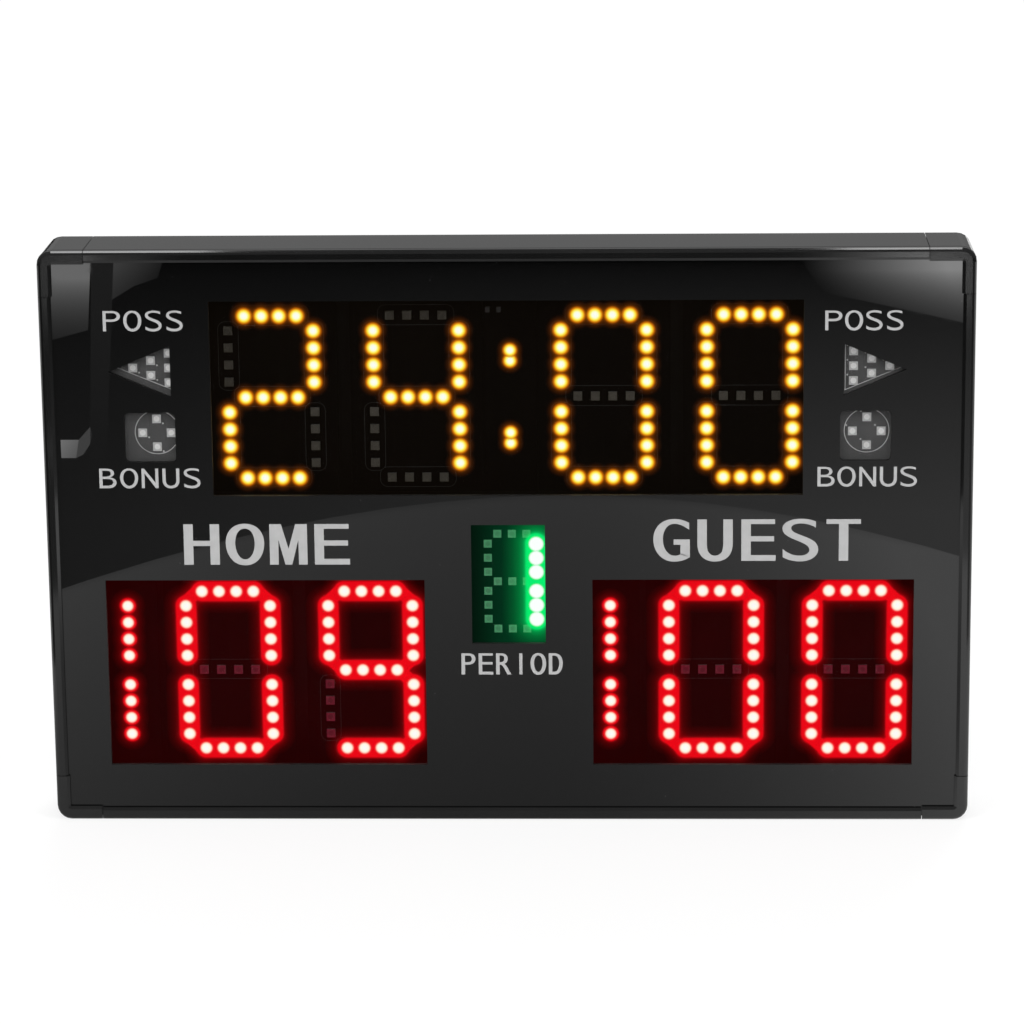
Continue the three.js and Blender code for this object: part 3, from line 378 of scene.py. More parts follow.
# %% [markdown]
# Studio reflectors stand on the dark floor and hang overhead. Only gloss surfaces see them:
# they make the pale wedge and patches in the upper corners of the face and the shine on the
# frame's front edge. Each row gives a reflector's level, its outline seen from above, its
# strength, where it is full and how fast it halves to the rear, and between which two places
# it rises from dark to full across the board, with the power of that rise.

# %% Reflectors
REFLECTORS = {
    "right_reflector": (0, [(225, -1900), (244, -1631), (289, -1580), (326, -1535), (372, -1477),
                            (405, -1900)], 5.5, (-1745, 91), (225, 375), 1.6),
    "left_reflector": (0, [(-545, -1900), (-500, -1900), (-443, -1459), (-470, -1414)],
                       3.2, (-1715, 89), (0, -300), 1.0),
    "small_reflector": (0, [(-476, -1900), (-420, -1900), (-409, -1718), (-427, -1676),
                            (-440, -1605)], 1.1, (-1805, 400), (-400, -468), 1.0),
    "tall_reflector": (0, [(-500, -1900), (-476, -1900), (-352, -898), (-365, -898)],
                       0.22, (-1805, 2000), (0, -300), 1.0),
    "low_reflector": (0, [(-404, -1005), (-389, -1005), (-382, -940), (-394, -940)],
                      3.7, (-1005, 2000), (-355, -404), 1.0),
    "low_side": (0, [(-389, -1005), (-386, -1052), (-380, -1022), (-377.5, -987), (-378, -952),
                     (-382, -940)], 1.1, (-892, 9000), (0, -1), 1.0),
    "left_overhead": (2000, [(-640, -900), (-352, -900), (-352, 200), (-640, 200)],
                      9.0, (-900, 9000), (0, -300), 1.0),
    "right_overhead": (2000, [(264, -900), (420, -900), (420, 200), (264, 200)],
                       9.0, (-900, 9000), (0, 200), 1.0),
}
for name, (level, outline, strength, depths, places, power) in REFLECTORS.items():
    (full_y, halving), (dark_x, full_x) = depths, places
    sheet = bmesh.new()
    corners = [sheet.verts.new((x * MM, y * MM, level * MM)) for x, y in outline]
    bmesh.ops.contextual_create(sheet, geom=corners)
    glow = Finish(name)
    x, y, z = glow.axes()
    doubled = glow.maths("POWER", 2.0, (full_y * MM - y) / (halving * MM))
    fading = glow.maths("MINIMUM", doubled, 1.0)
    rising = glow.node("ShaderNodeMapRange", inputs={
        "Value": x, "From Min": dark_x * MM, "From Max": full_x * MM})
    tone = glow.maths("POWER", rising, power) * fading * strength
    glow.end(glow.node("ShaderNodeEmission", inputs={"Color": tone}))
    card = add_object(name, mesh_of(sheet, name, glow.owner))
    card.visible_camera = card.visible_diffuse = False
    card.visible_shadow = card.visible_transmission = False
    card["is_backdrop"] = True
print("reflectors", len(REFLECTORS))

# %% [markdown]
# The frame bars are extruded aluminium with a gloss black coat. The coat is near black, and
# what the eye reads is its sheen: even, with a very fine orange peel, and faint lines along
# the bar that the extrusion die leaves under the paint. The lines follow each bar's own
# length, so the top and side bars need the same recipe stretched along another axis.

# %% Frame coat
def frame_coat(name, stretch):
    coat = Finish(name)
    cloud = coat.noise(60, 2)
    lines = coat.noise(2.2, 2, stretch)
    peel = coat.noise(0.5, 2)
    return coat.surface(
        Base_Color=coat.mix(cloud, grey(0.003), grey(0.006)),
        Roughness=0.05 + cloud * 0.03 + lines * 0.03,
        Normal=coat.bump(peel * 0.6 + lines * 0.4, 0.006, 0.5))


COATS = {"frame_top": (0.02, 1, 1), "frame_bottom": (0.02, 1, 1),
         "frame_left": (1, 1, 0.02), "frame_right": (1, 1, 0.02)}


def dress(name, material):
    """Gives a CAD node its finish."""
    nodes[name].data.materials.clear()
    nodes[name].data.materials.append(material)


for name, stretch in COATS.items():
    dress(name, frame_coat("coat_" + name, stretch))
print("coated", sorted(COATS))

# %% [markdown]
# The corner caps are moulded plastic. They are as black as the bars but a touch duller, with
# a fine spark-eroded grain from the mould.

# %% Corner caps
def cap_plastic():
    cap = Finish("cap_plastic")
    grain = cap.noise(0.35, 4)
    cloud = cap.noise(25, 2)
    return cap.surface(
        Base_Color=cap.mix(cloud, grey(0.004), grey(0.008)),
        Roughness=0.09 + cloud * 0.05,
        Normal=cap.bump(grain, 0.01, 0.4))


moulded = cap_plastic()
for name in nodes:
    if name.startswith("corner_cap"):
        dress(name, moulded)
print("caps dressed")

# %% [markdown]
# The face is a sheet of black acrylic. Polished acrylic is almost a black mirror, and what
# tells it from a perfect one are smears left by a cloth, a few specks of dust and the sawn
# edges of the windows, which are frosted and catch the light as a thin pale line.

# %% Face panel
def gloss_acrylic():
    sheet = Finish("gloss_acrylic")
    depth = sheet.axes()[1]
    cut = sheet.step(depth, (PANEL_FRONT + 0.03) * MM, (PANEL_FRONT + 0.12) * MM)
    smear = sheet.step(sheet.noise(38, 4, (1, 1, 2.5), 0.6), 0.5, 0.75)
    specks = sheet.step(sheet.noise(1.6, 1), 0.79, 0.83)
    dust = specks * sheet.step(sheet.noise(55, 2), 0.45, 0.7)
    tone = sheet.mix(dust, grey(0.0025), grey(0.06))
    saw = sheet.noise(0.8, 2, (1, 8, 1))
    return sheet.surface(
        Base_Color=sheet.mix(cut, tone, sheet.mix(saw, grey(0.002), grey(0.006))),
        Roughness=0.004 + smear * 0.02 + cut * 0.7,
        IOR=1.5)


dress("face_panel", gloss_acrylic())
print("panel dressed")

# %% [markdown]
# Behind each window sits a smoked filter that hides the boards and lets the lamps through.
# It darkens the view by a fixed share at each of its two faces, so a plain Alpha does the
# work. Its skin is matt, so it doesn't mirror the table, and the little of the lamps' light
# that it scatters is painted on it as a faint glow of their colour. The indicator windows
# have a clear lens instead, so their lamps show even when they are off.

# %% Filters and lenses
FILTER_SHARE = 0.34
LENS_SHARE = 0.1
FILTER_COVER = 1 - (1 - FILTER_SHARE) ** 2
# The painted glow of each filter, thin and thick, stands for the lamps' light that it scatters.
PAINTED_HAZE_GLOW = {"timer": ((0.0015, 0.0009, 0.0004), (0.0029, 0.0017, 0.0008)),
        "home": ((0.011, 0.0, 0.0001), (0.021, 0.0001, 0.0003)),
        "guest": ((0.011, 0.0, 0.0001), (0.021, 0.0001, 0.0003)),
        "period": ((0.0005, 0.007, 0.003), (0.0003, 0.032, 0.011))}


def smoked_sheet(name, painted_haze_glow):
    """The period's painted glow grows towards its one lit column, the others' is a faint cloud."""
    sheet = Finish(name)
    cloud = sheet.noise(30, 3)
    dust = sheet.step(sheet.noise(1.2, 1), 0.8, 0.84)
    thin, thick = [shade(tone, 1 / FILTER_COVER) for tone in painted_haze_glow]
    share = sheet.step(sheet.axes()[0], -24 * MM, 4 * MM) if "period" in name else cloud
    return sheet.surface(
        Base_Color=sheet.mix(dust, grey(0.001), grey(0.03)),
        Roughness=0.35 + cloud * 0.1,
        Specular_IOR_Level=0.0,
        # The emission is painted glow, not light of the filter's own.
        Emission_Color=sheet.mix(share, thin, thick), Emission_Strength=1.0,
        Alpha=FILTER_SHARE)


def clear_sheet():
    sheet = Finish("clear_sheet")
    smear = sheet.noise(9, 3)
    return sheet.surface(
        Base_Color=sheet.mix(smear, grey(0.2), grey(0.3)),
        Roughness=0.12 + smear * 0.1,
        Specular_IOR_Level=0.1,
        Alpha=LENS_SHARE)


for name, painted_haze_glow in PAINTED_HAZE_GLOW.items():
    dress(name + "_filter", smoked_sheet("smoked_" + name, painted_haze_glow))
clear = clear_sheet()
for name in ("left_indicator_lens", "right_indicator_lens"):
    dress(name, clear)
print("filters and lenses dressed")

# %% [markdown]
# The lamp boards are circuit boards with a black solder mask, over copper tracks that show
# as faint raised lines. Their lamp packages and standoffs are part of the same CAD solid, so
# the depth tells the finish: packages in front of the board, brass posts behind it. The
# packages are painted dark grey, as painted shade on their sides, which is all of them that
# the rims in front leave bare.

# %% Lamp boards
BOARD_REAR = 1.2


def tracks(board, scale, width, brick_width, brick_height):
    """1 on a copper track and 0 between: the tracks are the joints of a brick pattern."""
    return board.node("ShaderNodeTexBrick", {"offset": 0.35}, {
        "Vector": board.place(), "Color1": grey(0), "Color2": grey(0), "Mortar": grey(1),
        "Scale": scale, "Mortar Size": width,
        "Brick Width": brick_width, "Row Height": brick_height})


def lamp_board(name, mask_tones, shaded_package_tone):
    board = Finish(name)
    depth = board.axes()[1]
    package = board.step(depth, (BOARD_FRONT - 0.02) * MM, (BOARD_FRONT - 0.08) * MM)
    post = board.step(depth, (BOARD_REAR + 0.02) * MM, (BOARD_REAR + 0.1) * MM)
    track = tracks(board, 55.0, 0.012, 0.6, 0.3)
    mask_tone = board.mix(track, *map(grey, mask_tones))
    # The CAD packages get a dark grey as painted shade on their sides.
    shaded_packages = board.mix(board.noise(0.7, 2), grey(shaded_package_tone * 0.85), grey(shaded_package_tone))
    tone = board.mix(package, mask_tone, shaded_packages)
    return board.surface(
        Base_Color=board.mix(post, tone, (0.62, 0.45, 0.18, 1)),
        Roughness=0.45 + board.noise(6, 2) * 0.15 - post * 0.15,
        Specular_IOR_Level=0.05,
        Metallic=post,
        Normal=board.bump(track, 0.03, 0.5))


CONTROL_BOARDS = ("control_board", "receiver_board", "power_board")
LAMP_BOARDS = [name for name in nodes if name.endswith("_board") and name not in CONTROL_BOARDS]
dark_mask = lamp_board("lamp_board", (0.0015, 0.004), 0.12)
clear_mask = lamp_board("indicator_board", (0.03, 0.05), 0.04)
for name in LAMP_BOARDS:
    dress(name, clear_mask if "indicator" in name else dark_mask)
print("lamp boards dressed", len(LAMP_BOARDS))

# %% [markdown]
# The control boards are green. Chips stand in front of the board's face and so does the
# metal can of the receiver, so here too the depth picks the finish.

# %% Control boards
CONTROL_FRONT = 10.0
CAN_REACH = 7.0


def control_board():
    board = Finish("control_board")
    depth = board.axes()[1]
    part = board.step(depth, (CONTROL_FRONT - 0.02) * MM, (CONTROL_FRONT - 0.1) * MM)
    tall = board.step(depth, CAN_REACH * MM, (CAN_REACH - 0.2) * MM)
    track = tracks(board, 70.0, 0.02, 0.5, 0.2)
    green = board.mix(track, (0.01, 0.07, 0.025, 1), (0.02, 0.12, 0.045, 1))
    parts = board.mix(tall, grey(0.015), grey(0.55))
    return board.surface(
        Base_Color=board.mix(part, green, parts),
        Roughness=0.4 + board.noise(4, 2) * 0.15,
        Normal=board.bump(track, 0.03, 0.5))


green_mask = control_board()
for name in CONTROL_BOARDS:
    dress(name, green_mask)
print("control boards dressed")

# %% [markdown]
# The rear cover is thin steel with a fine wrinkle powder coat. The wrinkle is a height
# pattern of half a millimetre, which makes the sheen sparkle rather than mirror. Its inner
# side is painted near black, as painted shade of the inside of the closed box, so that nothing
# pale shows between the lamp boards.

# %% Rear cover
COVER_INNER = 15.3


def wrinkle_coat():
    coat = Finish("wrinkle_coat")
    wrinkle = coat.node("ShaderNodeTexVoronoi", {"feature": "SMOOTH_F1"}, {
        "Vector": coat.place(), "Scale": 1400.0, "Smoothness": 0.6})
    cloud = coat.noise(45, 3)
    # The inner side is painted near black as painted shade of the closed box.
    inside = coat.step(coat.axes()[1], (COVER_INNER + 0.1) * MM, (COVER_INNER - 0.1) * MM)
    return coat.surface(
        Base_Color=coat.mix(inside, coat.mix(cloud, grey(0.02), grey(0.034)), grey(0.003)),
        Roughness=0.48 + cloud * 0.1,
        Normal=coat.bump(wrinkle, 0.09, 0.7))


dress("rear_cover", wrinkle_coat())
print("cover dressed")

# %% [markdown]
# The inlet, switch and buzzer are glossier moulded plastic, with a short pin of metal inside
# the inlet. The rod, saddles, hangers and nut are zinc plated, which shows as a bright grey
# metal with a faint cloudy spangle.

# %% Black plastic and zinc plate
INLET_X = -18
SWITCH_ROW = 62
PIN_RADIUS = 1.3


def black_plastic():
    shell = Finish("black_plastic")
    x, _, z = shell.axes()
    off_x, off_z = x - INLET_X * MM, z - SWITCH_ROW * MM
    pin = shell.maths("SQRT", off_x * off_x + off_z * off_z) < PIN_RADIUS * MM
    cloud = shell.noise(8, 3)
    tone = shell.mix(cloud, grey(0.012), grey(0.02))
    return shell.surface(
        Base_Color=shell.mix(pin, tone, grey(0.6)),
        Metallic=pin,
        Roughness=0.26 + cloud * 0.14,
        Normal=shell.bump(shell.noise(0.3, 3), 0.01, 0.5))


def zinc_plate():
    plate = Finish("zinc_plate")
    spangle = plate.node("ShaderNodeTexVoronoi", inputs={
        "Vector": plate.place(), "Scale": 160.0}, out="Color")
    facet = plate.axes(spangle)[0]
    scratch = plate.noise(0.6, 3, (1, 1, 0.08))
    return plate.surface(
        Base_Color=plate.mix(facet, grey(0.42), grey(0.56)),
        Metallic=1.0,
        Roughness=0.24 + facet * 0.1 + scratch * 0.14,
        Normal=plate.bump(scratch, 0.01, 0.4))


shell, plate = black_plastic(), zinc_plate()
for name in ("power_inlet", "switch_housing", "power_rocker", "buzzer"):
    dress(name, shell)
for name in ("inlet_nut", "stand_bail", "stand_saddle_left", "stand_saddle_right",
             "hanger_left", "hanger_right"):
    dress(name, plate)
undressed = [name for name in nodes if not nodes[name].data.materials]
print("still undressed", undressed)

# %% [markdown]
# Each digit is a figure of eight with seven bars of four lamps, and a lit number is the set
# of bars that are on. The table below names the bars as lamp makers do, from a at the top
# clockwise to f, with g across the middle. The boards sit a little to the right of their
# windows' middle, as the CAD model has them.

# %% Where the lamps are
LAMP_SHIFT = 1.6
BARS_OF = {"0": "abcdef", "1": "bc", "2": "abged", "4": "fgbc", "9": "abcdfg"}
AMBER, RED, GREEN, OFF = "amber", "red", "green", "off"


def digit_lamps(x, z, column, row, pitch, waist, count):
    """The lamps of one digit: the bar's letter and the lamp's place on the face."""
    start = -(count - 1) / 2 * pitch
    along = [start + pitch * i for i in range(count)]
    up = [waist + pitch * i for i in range(count)]
    found = []
    for bar, level in (("a", row), ("g", 0), ("d", -row)):
        found += [(bar, x + step, z + level) for step in along]
    for bar, side, sign in (("f", -1, 1), ("b", 1, 1), ("e", -1, -1), ("c", 1, -1)):
        found += [(bar, x + side * column, z + sign * step) for step in up]
    return found


BIG = {"column": 24.5, "row": 47.5, "pitch": 10, "waist": 8.8, "count": 4}
SMALL = {"column": 14, "row": 28.4, "pitch": 8.4, "waist": 5.7, "count": 3}
BIG_LAMP, PERIOD_LAMP, COLON_LAMP = 5.0, 4.6, 4.0
TIMER_ROW, SCORE_ROW, PERIOD_ROW = 79.0, -83.7, -30.55
DIGITS = [
    ("minutes_tens", -136.8, TIMER_ROW, "2", AMBER),
    ("minutes_units", -53.6, TIMER_ROW, "4", AMBER),
    ("seconds_tens", 53.6, TIMER_ROW, "0", AMBER),
    ("seconds_units", 136.8, TIMER_ROW, "0", AMBER),
    ("home_tens", -165.475, SCORE_ROW, "0", RED),
    ("home_units", -82.625, SCORE_ROW, "9", RED),
    ("guest_tens", 115.025, SCORE_ROW, "0", RED),
    ("guest_units", 197.875, SCORE_ROW, "0", RED),
]
ARROW_LAMPS = [(216.4, 96.3), (206.1, 100.6), (206.1, 92.0),
               (195.8, 104.9), (195.8, 96.3), (195.8, 87.7)]
RING_PLACE = (203.7, 58.2)
RING_LAMPS_OUT = 8.2
RING_LAMPS = [(RING_PLACE[0] + RING_LAMPS_OUT * a, RING_PLACE[1] + RING_LAMPS_OUT * b)
              for a, b in ((0, 1), (1, 0), (0, -1), (-1, 0))]
lamps = {}
for name, x, z, number, color in DIGITS:
    lamps[name] = [(px, pz, BIG_LAMP, color if bar in BARS_OF[number] else OFF)
                   for bar, px, pz in digit_lamps(x, z, **BIG)]
for name, x in (("home_hundreds", -223.9), ("guest_hundreds", 56.6)):
    lamps[name] = [(x, SCORE_ROW + sign * (BIG["waist"] + BIG["pitch"] * i), BIG_LAMP, RED)
                   for sign in (1, -1) for i in range(BIG["count"])]
lamps["period"] = [(px, pz, PERIOD_LAMP, GREEN if bar in BARS_OF["1"] else OFF)
                   for bar, px, pz in digit_lamps(0, PERIOD_ROW, **SMALL)]
lamps["colon"] = [(0, TIMER_ROW + rise, COLON_LAMP, AMBER) for rise in (27.2, 21, -21, -27.2)]
for name, side in (("left_indicator", -1), ("right_indicator", 1)):
    lamps[name] = [(side * px, pz, BIG_LAMP, OFF) for px, pz in ARROW_LAMPS + RING_LAMPS]
lamps = {name: [(x + LAMP_SHIFT, *rest) for x, *rest in places] for name, places in lamps.items()}
states = [state for places in lamps.values() for x, z, size, state in places]
print("lamps", len(states), "lit", len(states) - states.count(OFF))

# %% [markdown]
# A lamp package is a square block with a round well, and a clear gel fills the well. The
# CAD block is plain, so a thin rim with the well in it goes on its face. It is modelled once:
# the edge of a small grid gives a square of twelve vertices, that loop is extruded inwards
# onto a circle, and the well is that circle pushed back and closed. The copies are placed by
# lamp. The lamps of the indicators have a wider well than those of the digits.

# %% Lamp rim, modelled once
RIM_RISE = 0.22
WELL_DEPTH = 0.14
WELL_TAPER = 0.82
GEL_DOME = 0.06
DIGIT_WELL_SHARE = 0.39
INDICATOR_WELL_SHARE = 0.42


def circle_from(work, square, radius):
    """Extrudes a square loop of twelve edges, and sets the new vertices on a circle."""
    grown = bmesh.ops.extrude_edge_only(work, edges=square)["geom"]
    for vert in verts_of(grown):
        turned = math.degrees(math.atan2(vert.co.y, vert.co.x))
        turned = math.radians(round((turned - 15) / 30) * 30 + 15)
        vert.co.x, vert.co.y = radius * math.cos(turned), radius * math.sin(turned)
    return edges_of(grown)


def lamp_rim(size, well_share):
    """The rim of one lamp, front towards -Y, with its rear at depth 0, in metres."""
    rim = bmesh.new()
    bmesh.ops.create_grid(rim, x_segments=3, y_segments=3, size=size / 2 * MM)
    inner = [v for v in rim.verts if not v.is_boundary]
    bmesh.ops.delete(rim, geom=inner, context="VERTS")
    bmesh.ops.delete(rim, geom=rim.faces[:], context="FACES_ONLY")
    side = bmesh.ops.extrude_edge_only(rim, edges=rim.edges[:])["geom"]
    bmesh.ops.translate(rim, verts=verts_of(side), vec=(0, 0, RIM_RISE * MM))
    well = circle_from(rim, edges_of(side), size * well_share * MM)
    wall = bmesh.ops.extrude_edge_only(rim, edges=well)["geom"]
    bmesh.ops.scale(rim, verts=verts_of(wall), vec=(WELL_TAPER, WELL_TAPER, 1))
    bmesh.ops.translate(rim, verts=verts_of(wall), vec=(0, 0, -WELL_DEPTH * MM))
    gel = bmesh.ops.contextual_create(rim, geom=edges_of(wall))
    for face in gel["faces"]:
        face.material_index = 1
    dome = bmesh.ops.poke(rim, faces=gel["faces"])
    bmesh.ops.translate(rim, verts=dome["verts"], vec=(0, 0, GEL_DOME * MM))
    bmesh.ops.recalc_face_normals(rim, faces=rim.faces[:])
    stand_up(rim)
    return mesh_of(rim, "lamp_rim")


RIMS = {size: lamp_rim(size, DIGIT_WELL_SHARE) for size in (COLON_LAMP, PERIOD_LAMP, BIG_LAMP)}
indicator_rim = lamp_rim(BIG_LAMP, INDICATOR_WELL_SHARE)
print("rim faces", len(RIMS[BIG_LAMP].polygons))

# %% [markdown]
# A lamp that is off shows its pale well, with a painted glow that stands for the light of its
# lit neighbours; the indicators' lamps, which are all off, get a grey painted glow that brightens
# them. One that is on is too bright for a camera to hold: its heart is white, and its colour
# spreads round it.
# Two thin layers in front of the lamps make this. The heart is a disc for each lamp. The halo
# behind it is one colour whose cover fades away from the lamps, so that halos may overlap
# without darkening each other. The UV map of both tells how far a point is from the lamp. The
# stops below are rings round a lamp: a reach in pixels of the photograph, a colour, a cover.

# %% Finishes of lamps, hearts and halos
THROUGH_FILTER = 1 / (1 - FILTER_COVER)
PIXELS_PER_MM = 1.75
# Each state: the colour of an unlit lamp, and a painted glow that stands for the light falling on
# it.
OFF_TONE_AND_PAINTED_GLOW = {AMBER: ((0.165, 0.152, 0.128), (0.004, 0.003, 0.001)),
            RED: ((0.035, 0.026, 0.026), (0.23, 0.014, 0.036)),
            GREEN: ((0.14, 0.15, 0.13), (0.11, 0.5, 0.22)),
            OFF: ((0.8, 0.8, 0.79), (0.27, 0.27, 0.27))}
INDICATOR_PACKAGE_SHADE = 0.72
# Each pair: a share of the gel's colour and the strength of its painted glow.
DIGIT_GEL_SHARES, INDICATOR_GEL_SHARES = (0.85, 0.8), (1.15, 1.0)
HEART_REACH = {AMBER: 5.4, RED: 5.0, GREEN: 5.4}
HEART_STOPS = {
    AMBER: [(1, (250, 252, 244), 1), (3, (252, 254, 218), 1), (4, (255, 252, 160), 1),
            (5, (255, 238, 92), 1), (6, (250, 204, 46), 1), (7, (228, 150, 20), 0.9),
            (8, (204, 112, 10), 0.5), (9.4, (190, 95, 6), 0)],
    RED: [(1, (250, 250, 248), 1), (3.3, (252, 250, 236), 1), (4.6, (255, 243, 222), 1),
          (5.5, (255, 205, 185), 1), (6.4, (250, 125, 115), 1), (7.2, (240, 50, 52), 0.8),
          (8.7, (238, 8, 22), 0)],
    GREEN: [(1, (250, 255, 252), 1), (6.6, (250, 255, 252), 1), (7.6, (250, 255, 252), 0.8),
            (8.4, (250, 255, 252), 0.35), (9.4, (250, 255, 252), 0)],
}
HALO_REACH = {AMBER: 9.0, RED: 13.4, GREEN: 20.0}
HALO_TONE = {AMBER: (190, 95, 6), RED: (238, 8, 22), GREEN: (8, 242, 112)}
HALO_STOPS = {
    AMBER: [(6, 1), (7, 0.8), (8, 0.42), (9, 0.2), (11, 0.06), (14, 0.01), (15.7, 0)],
    RED: [(8.8, 1), (9.8, 0.9), (11, 0.35), (12.2, 0.13), (14.5, 0.06), (18.5, 0.025), (23.4, 0)],
    GREEN: [(9, 1), (10.5, 0.85), (12, 0.45), (14, 0.26), (18, 0.14), (24, 0.06), (30, 0.02),
            (35, 0)],
}


def spread(glow):
    """How far a point is from its lamp, as a share of the layer's reach."""
    return glow.node("ShaderNodeVectorMath", {"operation": "DISTANCE"}, {
        0: glow.node("ShaderNodeUVMap"), 1: (0.5, 0.5, 0)}, "Value") * 2


def heart(color):
    glow = Finish("heart_" + color)
    share, reach = spread(glow), HEART_REACH[color] * PIXELS_PER_MM
    tones = [(pixel / reach, srgb(*tone)) for pixel, tone, cover in HEART_STOPS[color]]
    covers = [(pixel / reach, grey(cover)) for pixel, tone, cover in HEART_STOPS[color]]
    return glow.surface(
        Base_Color=grey(0), Specular_IOR_Level=0.0,
        Emission_Color=glow.ramp(share, *tones), Emission_Strength=THROUGH_FILTER,
        Alpha=glow.ramp(share, *covers))


def halo(color):
    glow = Finish("halo_" + color)
    share, reach = spread(glow), HALO_REACH[color] * PIXELS_PER_MM
    covers = [(pixel / reach, grey(cover)) for pixel, cover in HALO_STOPS[color]]
    tone = srgb(*HALO_TONE[color])
    return glow.surface(
        Base_Color=grey(0), Specular_IOR_Level=0.0,
        Emission_Color=glow.mix(glow.noise(7, 2), tone, shade(tone, 0.86)),
        Emission_Strength=THROUGH_FILTER,
        Alpha=glow.ramp(share, *covers))


def package(state):
    pack = Finish("package_" + state)
    base, painted_glow = OFF_TONE_AND_PAINTED_GLOW[state]
    whole = INDICATOR_PACKAGE_SHADE if state == OFF else 1
    return pack.surface(
        Base_Color=pack.mix(pack.noise(1.5, 2), shade(base, 0.7 * whole), shade(base, whole)),
        Roughness=0.4, Specular_IOR_Level=0.1,
        Emission_Color=pack.mix(pack.noise(4, 2), shade(painted_glow, whole), shade(painted_glow, 0.7 * whole)),
        Emission_Strength=1.0)


def gel_off(state):
    gel = Finish("gel_off_" + state)
    base, painted_glow = OFF_TONE_AND_PAINTED_GLOW[state]
    tone, strength = INDICATOR_GEL_SHARES if state == OFF else DIGIT_GEL_SHARES
    return gel.surface(
        Base_Color=gel.mix(gel.noise(0.8, 2), shade(base), shade(base, tone)),
        Roughness=0.2, Specular_IOR_Level=0.1,
        Emission_Color=gel.mix(gel.noise(4, 2), shade(painted_glow), shade(painted_glow, 0.5)),
        Emission_Strength=strength)


def gel_on(color):
    gel = Finish("gel_" + color)
    hot = gel.mix(gel.noise(1.0, 2), srgb(*HEART_STOPS[color][1][1]), grey(1.0))
    return gel.surface(Base_Color=grey(0.2), Emission_Color=hot, Emission_Strength=THROUGH_FILTER)


LAMP_FINISH = {state: [package(state), gel_off(state)] for state in (AMBER, RED, GREEN, OFF)}
GELS = {color: gel_on(color) for color in (AMBER, RED, GREEN)}
HEARTS = {color: heart(color) for color in (AMBER, RED, GREEN)}
HALOS = {color: halo(color) for color in (AMBER, RED, GREEN)}
print("strength behind the filter", round(THROUGH_FILTER, 2))

# %% [markdown]
# Every piece ends the same way: its bmesh becomes a mesh object at the origin, with its place
# in its vertices, and it rides on a body of the CAD model, so that it moves with it.

# %% Ending a piece
def finish_piece(name, work, materials, body="board"):
    made = add_object(name, mesh_of(work, name, *materials))
    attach(made, body)
    print(name, len(made.data.polygons), "faces")


def append_mesh(work, source, place):
    """Adds a copy of a mesh to a bmesh, moved to place, and returns its new faces."""
    before, known = len(work.faces), len(work.verts)
    work.from_mesh(source)
    work.verts.ensure_lookup_table()
    work.faces.ensure_lookup_table()
    bmesh.ops.translate(work, verts=work.verts[known:], vec=place)
    return work.faces[before:]


# %% [markdown]
# The rims of one board make one piece, and its lit gels use the third material of that piece.

# %% Rims of every board
for name, places in lamps.items():
    colors = {state for x, z, size, state in places} - {OFF}
    color = colors.pop() if colors else None
    work = bmesh.new()
    for x, z, size, state in places:
        faces = append_mesh(work, RIMS[size] if color else indicator_rim, at(x, LAMP_FACE, z))
        for face in faces:
            if face.material_index == 1 and state != OFF:
                face.material_index = 2
    finishes = LAMP_FINISH[color or OFF] + ([GELS[color]] if color else [])
    finish_piece(name + "_lamps", work, finishes)

# %% [markdown]
# A heart is a disc. Where lamps lie close, their halos run into one band: a strip with half a
# disc at each end, cut from one circle so that its parts meet without a seam. Narrower bands
# link the bars at their corners. Each layer lies a hair behind the one before, because layers
# in one plane would flicker where they overlap.

# %% Hearts and halos of every board
LAYER_STEP = 0.004
HEART_LIFT = 0.9
HALO_LIFT = 0.6
LONE_HEART_SHARE = 0.88
HEART_SHARE = {AMBER: 0.98, RED: 0.94, GREEN: 0.88}
CORNER_GAP = 13.2
CORNER_SHARE = 0.62
CORNER_SHIFT = 1.8
LONE_SHARE = {"colon": 0.9, "home_hundreds": 0.78, "guest_hundreds": 0.78}


def glow_band(work, uv, start, end, depth, reach):
    """A band from lamp to lamp, or a disc round one. Its UV tells the distance from their line."""
    half = math.hypot(end[0] - start[0], end[1] - start[1]) / 2 / reach
    turned = math.atan2(end[1] - start[1], end[0] - start[0])
    ring = bmesh.ops.create_circle(work, segments=28, radius=1, cap_ends=True)["verts"]
    disc = ring[0].link_faces[0]
    parts = [disc]
    if half:
        whole = [disc, *disc.edges, *disc.verts]
        cut = bmesh.ops.bisect_plane(work, geom=whole, plane_no=(1, 0, 0))
        bmesh.ops.split_edges(work, edges=edges_of(cut["geom_cut"]))
        parts = list({f for v in ring if v.is_valid for f in v.link_faces})
    for face in parts:
        for loop in face.loops:
            loop[uv].uv = (0.5 + loop.vert.co.x / 2, 0.5 + loop.vert.co.y / 2)
    inner = []
    for face in parts:
        if half:
            side = math.copysign(half, face.calc_center_median().x)
            inner += [v for v in face.verts if abs(v.co.x) < 1e-5]
            bmesh.ops.translate(work, verts=face.verts[:], vec=(side, 0, 0))
    if half:
        strip = bmesh.ops.contextual_create(work, geom=inner)["faces"]
        for loop in strip[0].loops:
            loop[uv].uv = (0.5, 0.5 + loop.vert.co.y / 2)
        parts += strip
    place = (Matrix.Translation(at((start[0] + end[0]) / 2, depth, (start[1] + end[1]) / 2))
             @ Matrix.Rotation(math.radians(90), 4, "X") @ Matrix.Rotation(turned, 4, "Z")
             @ Matrix.Scale(reach * MM, 4))
    bmesh.ops.transform(work, matrix=place, verts=list({v for f in parts for v in f.verts}))


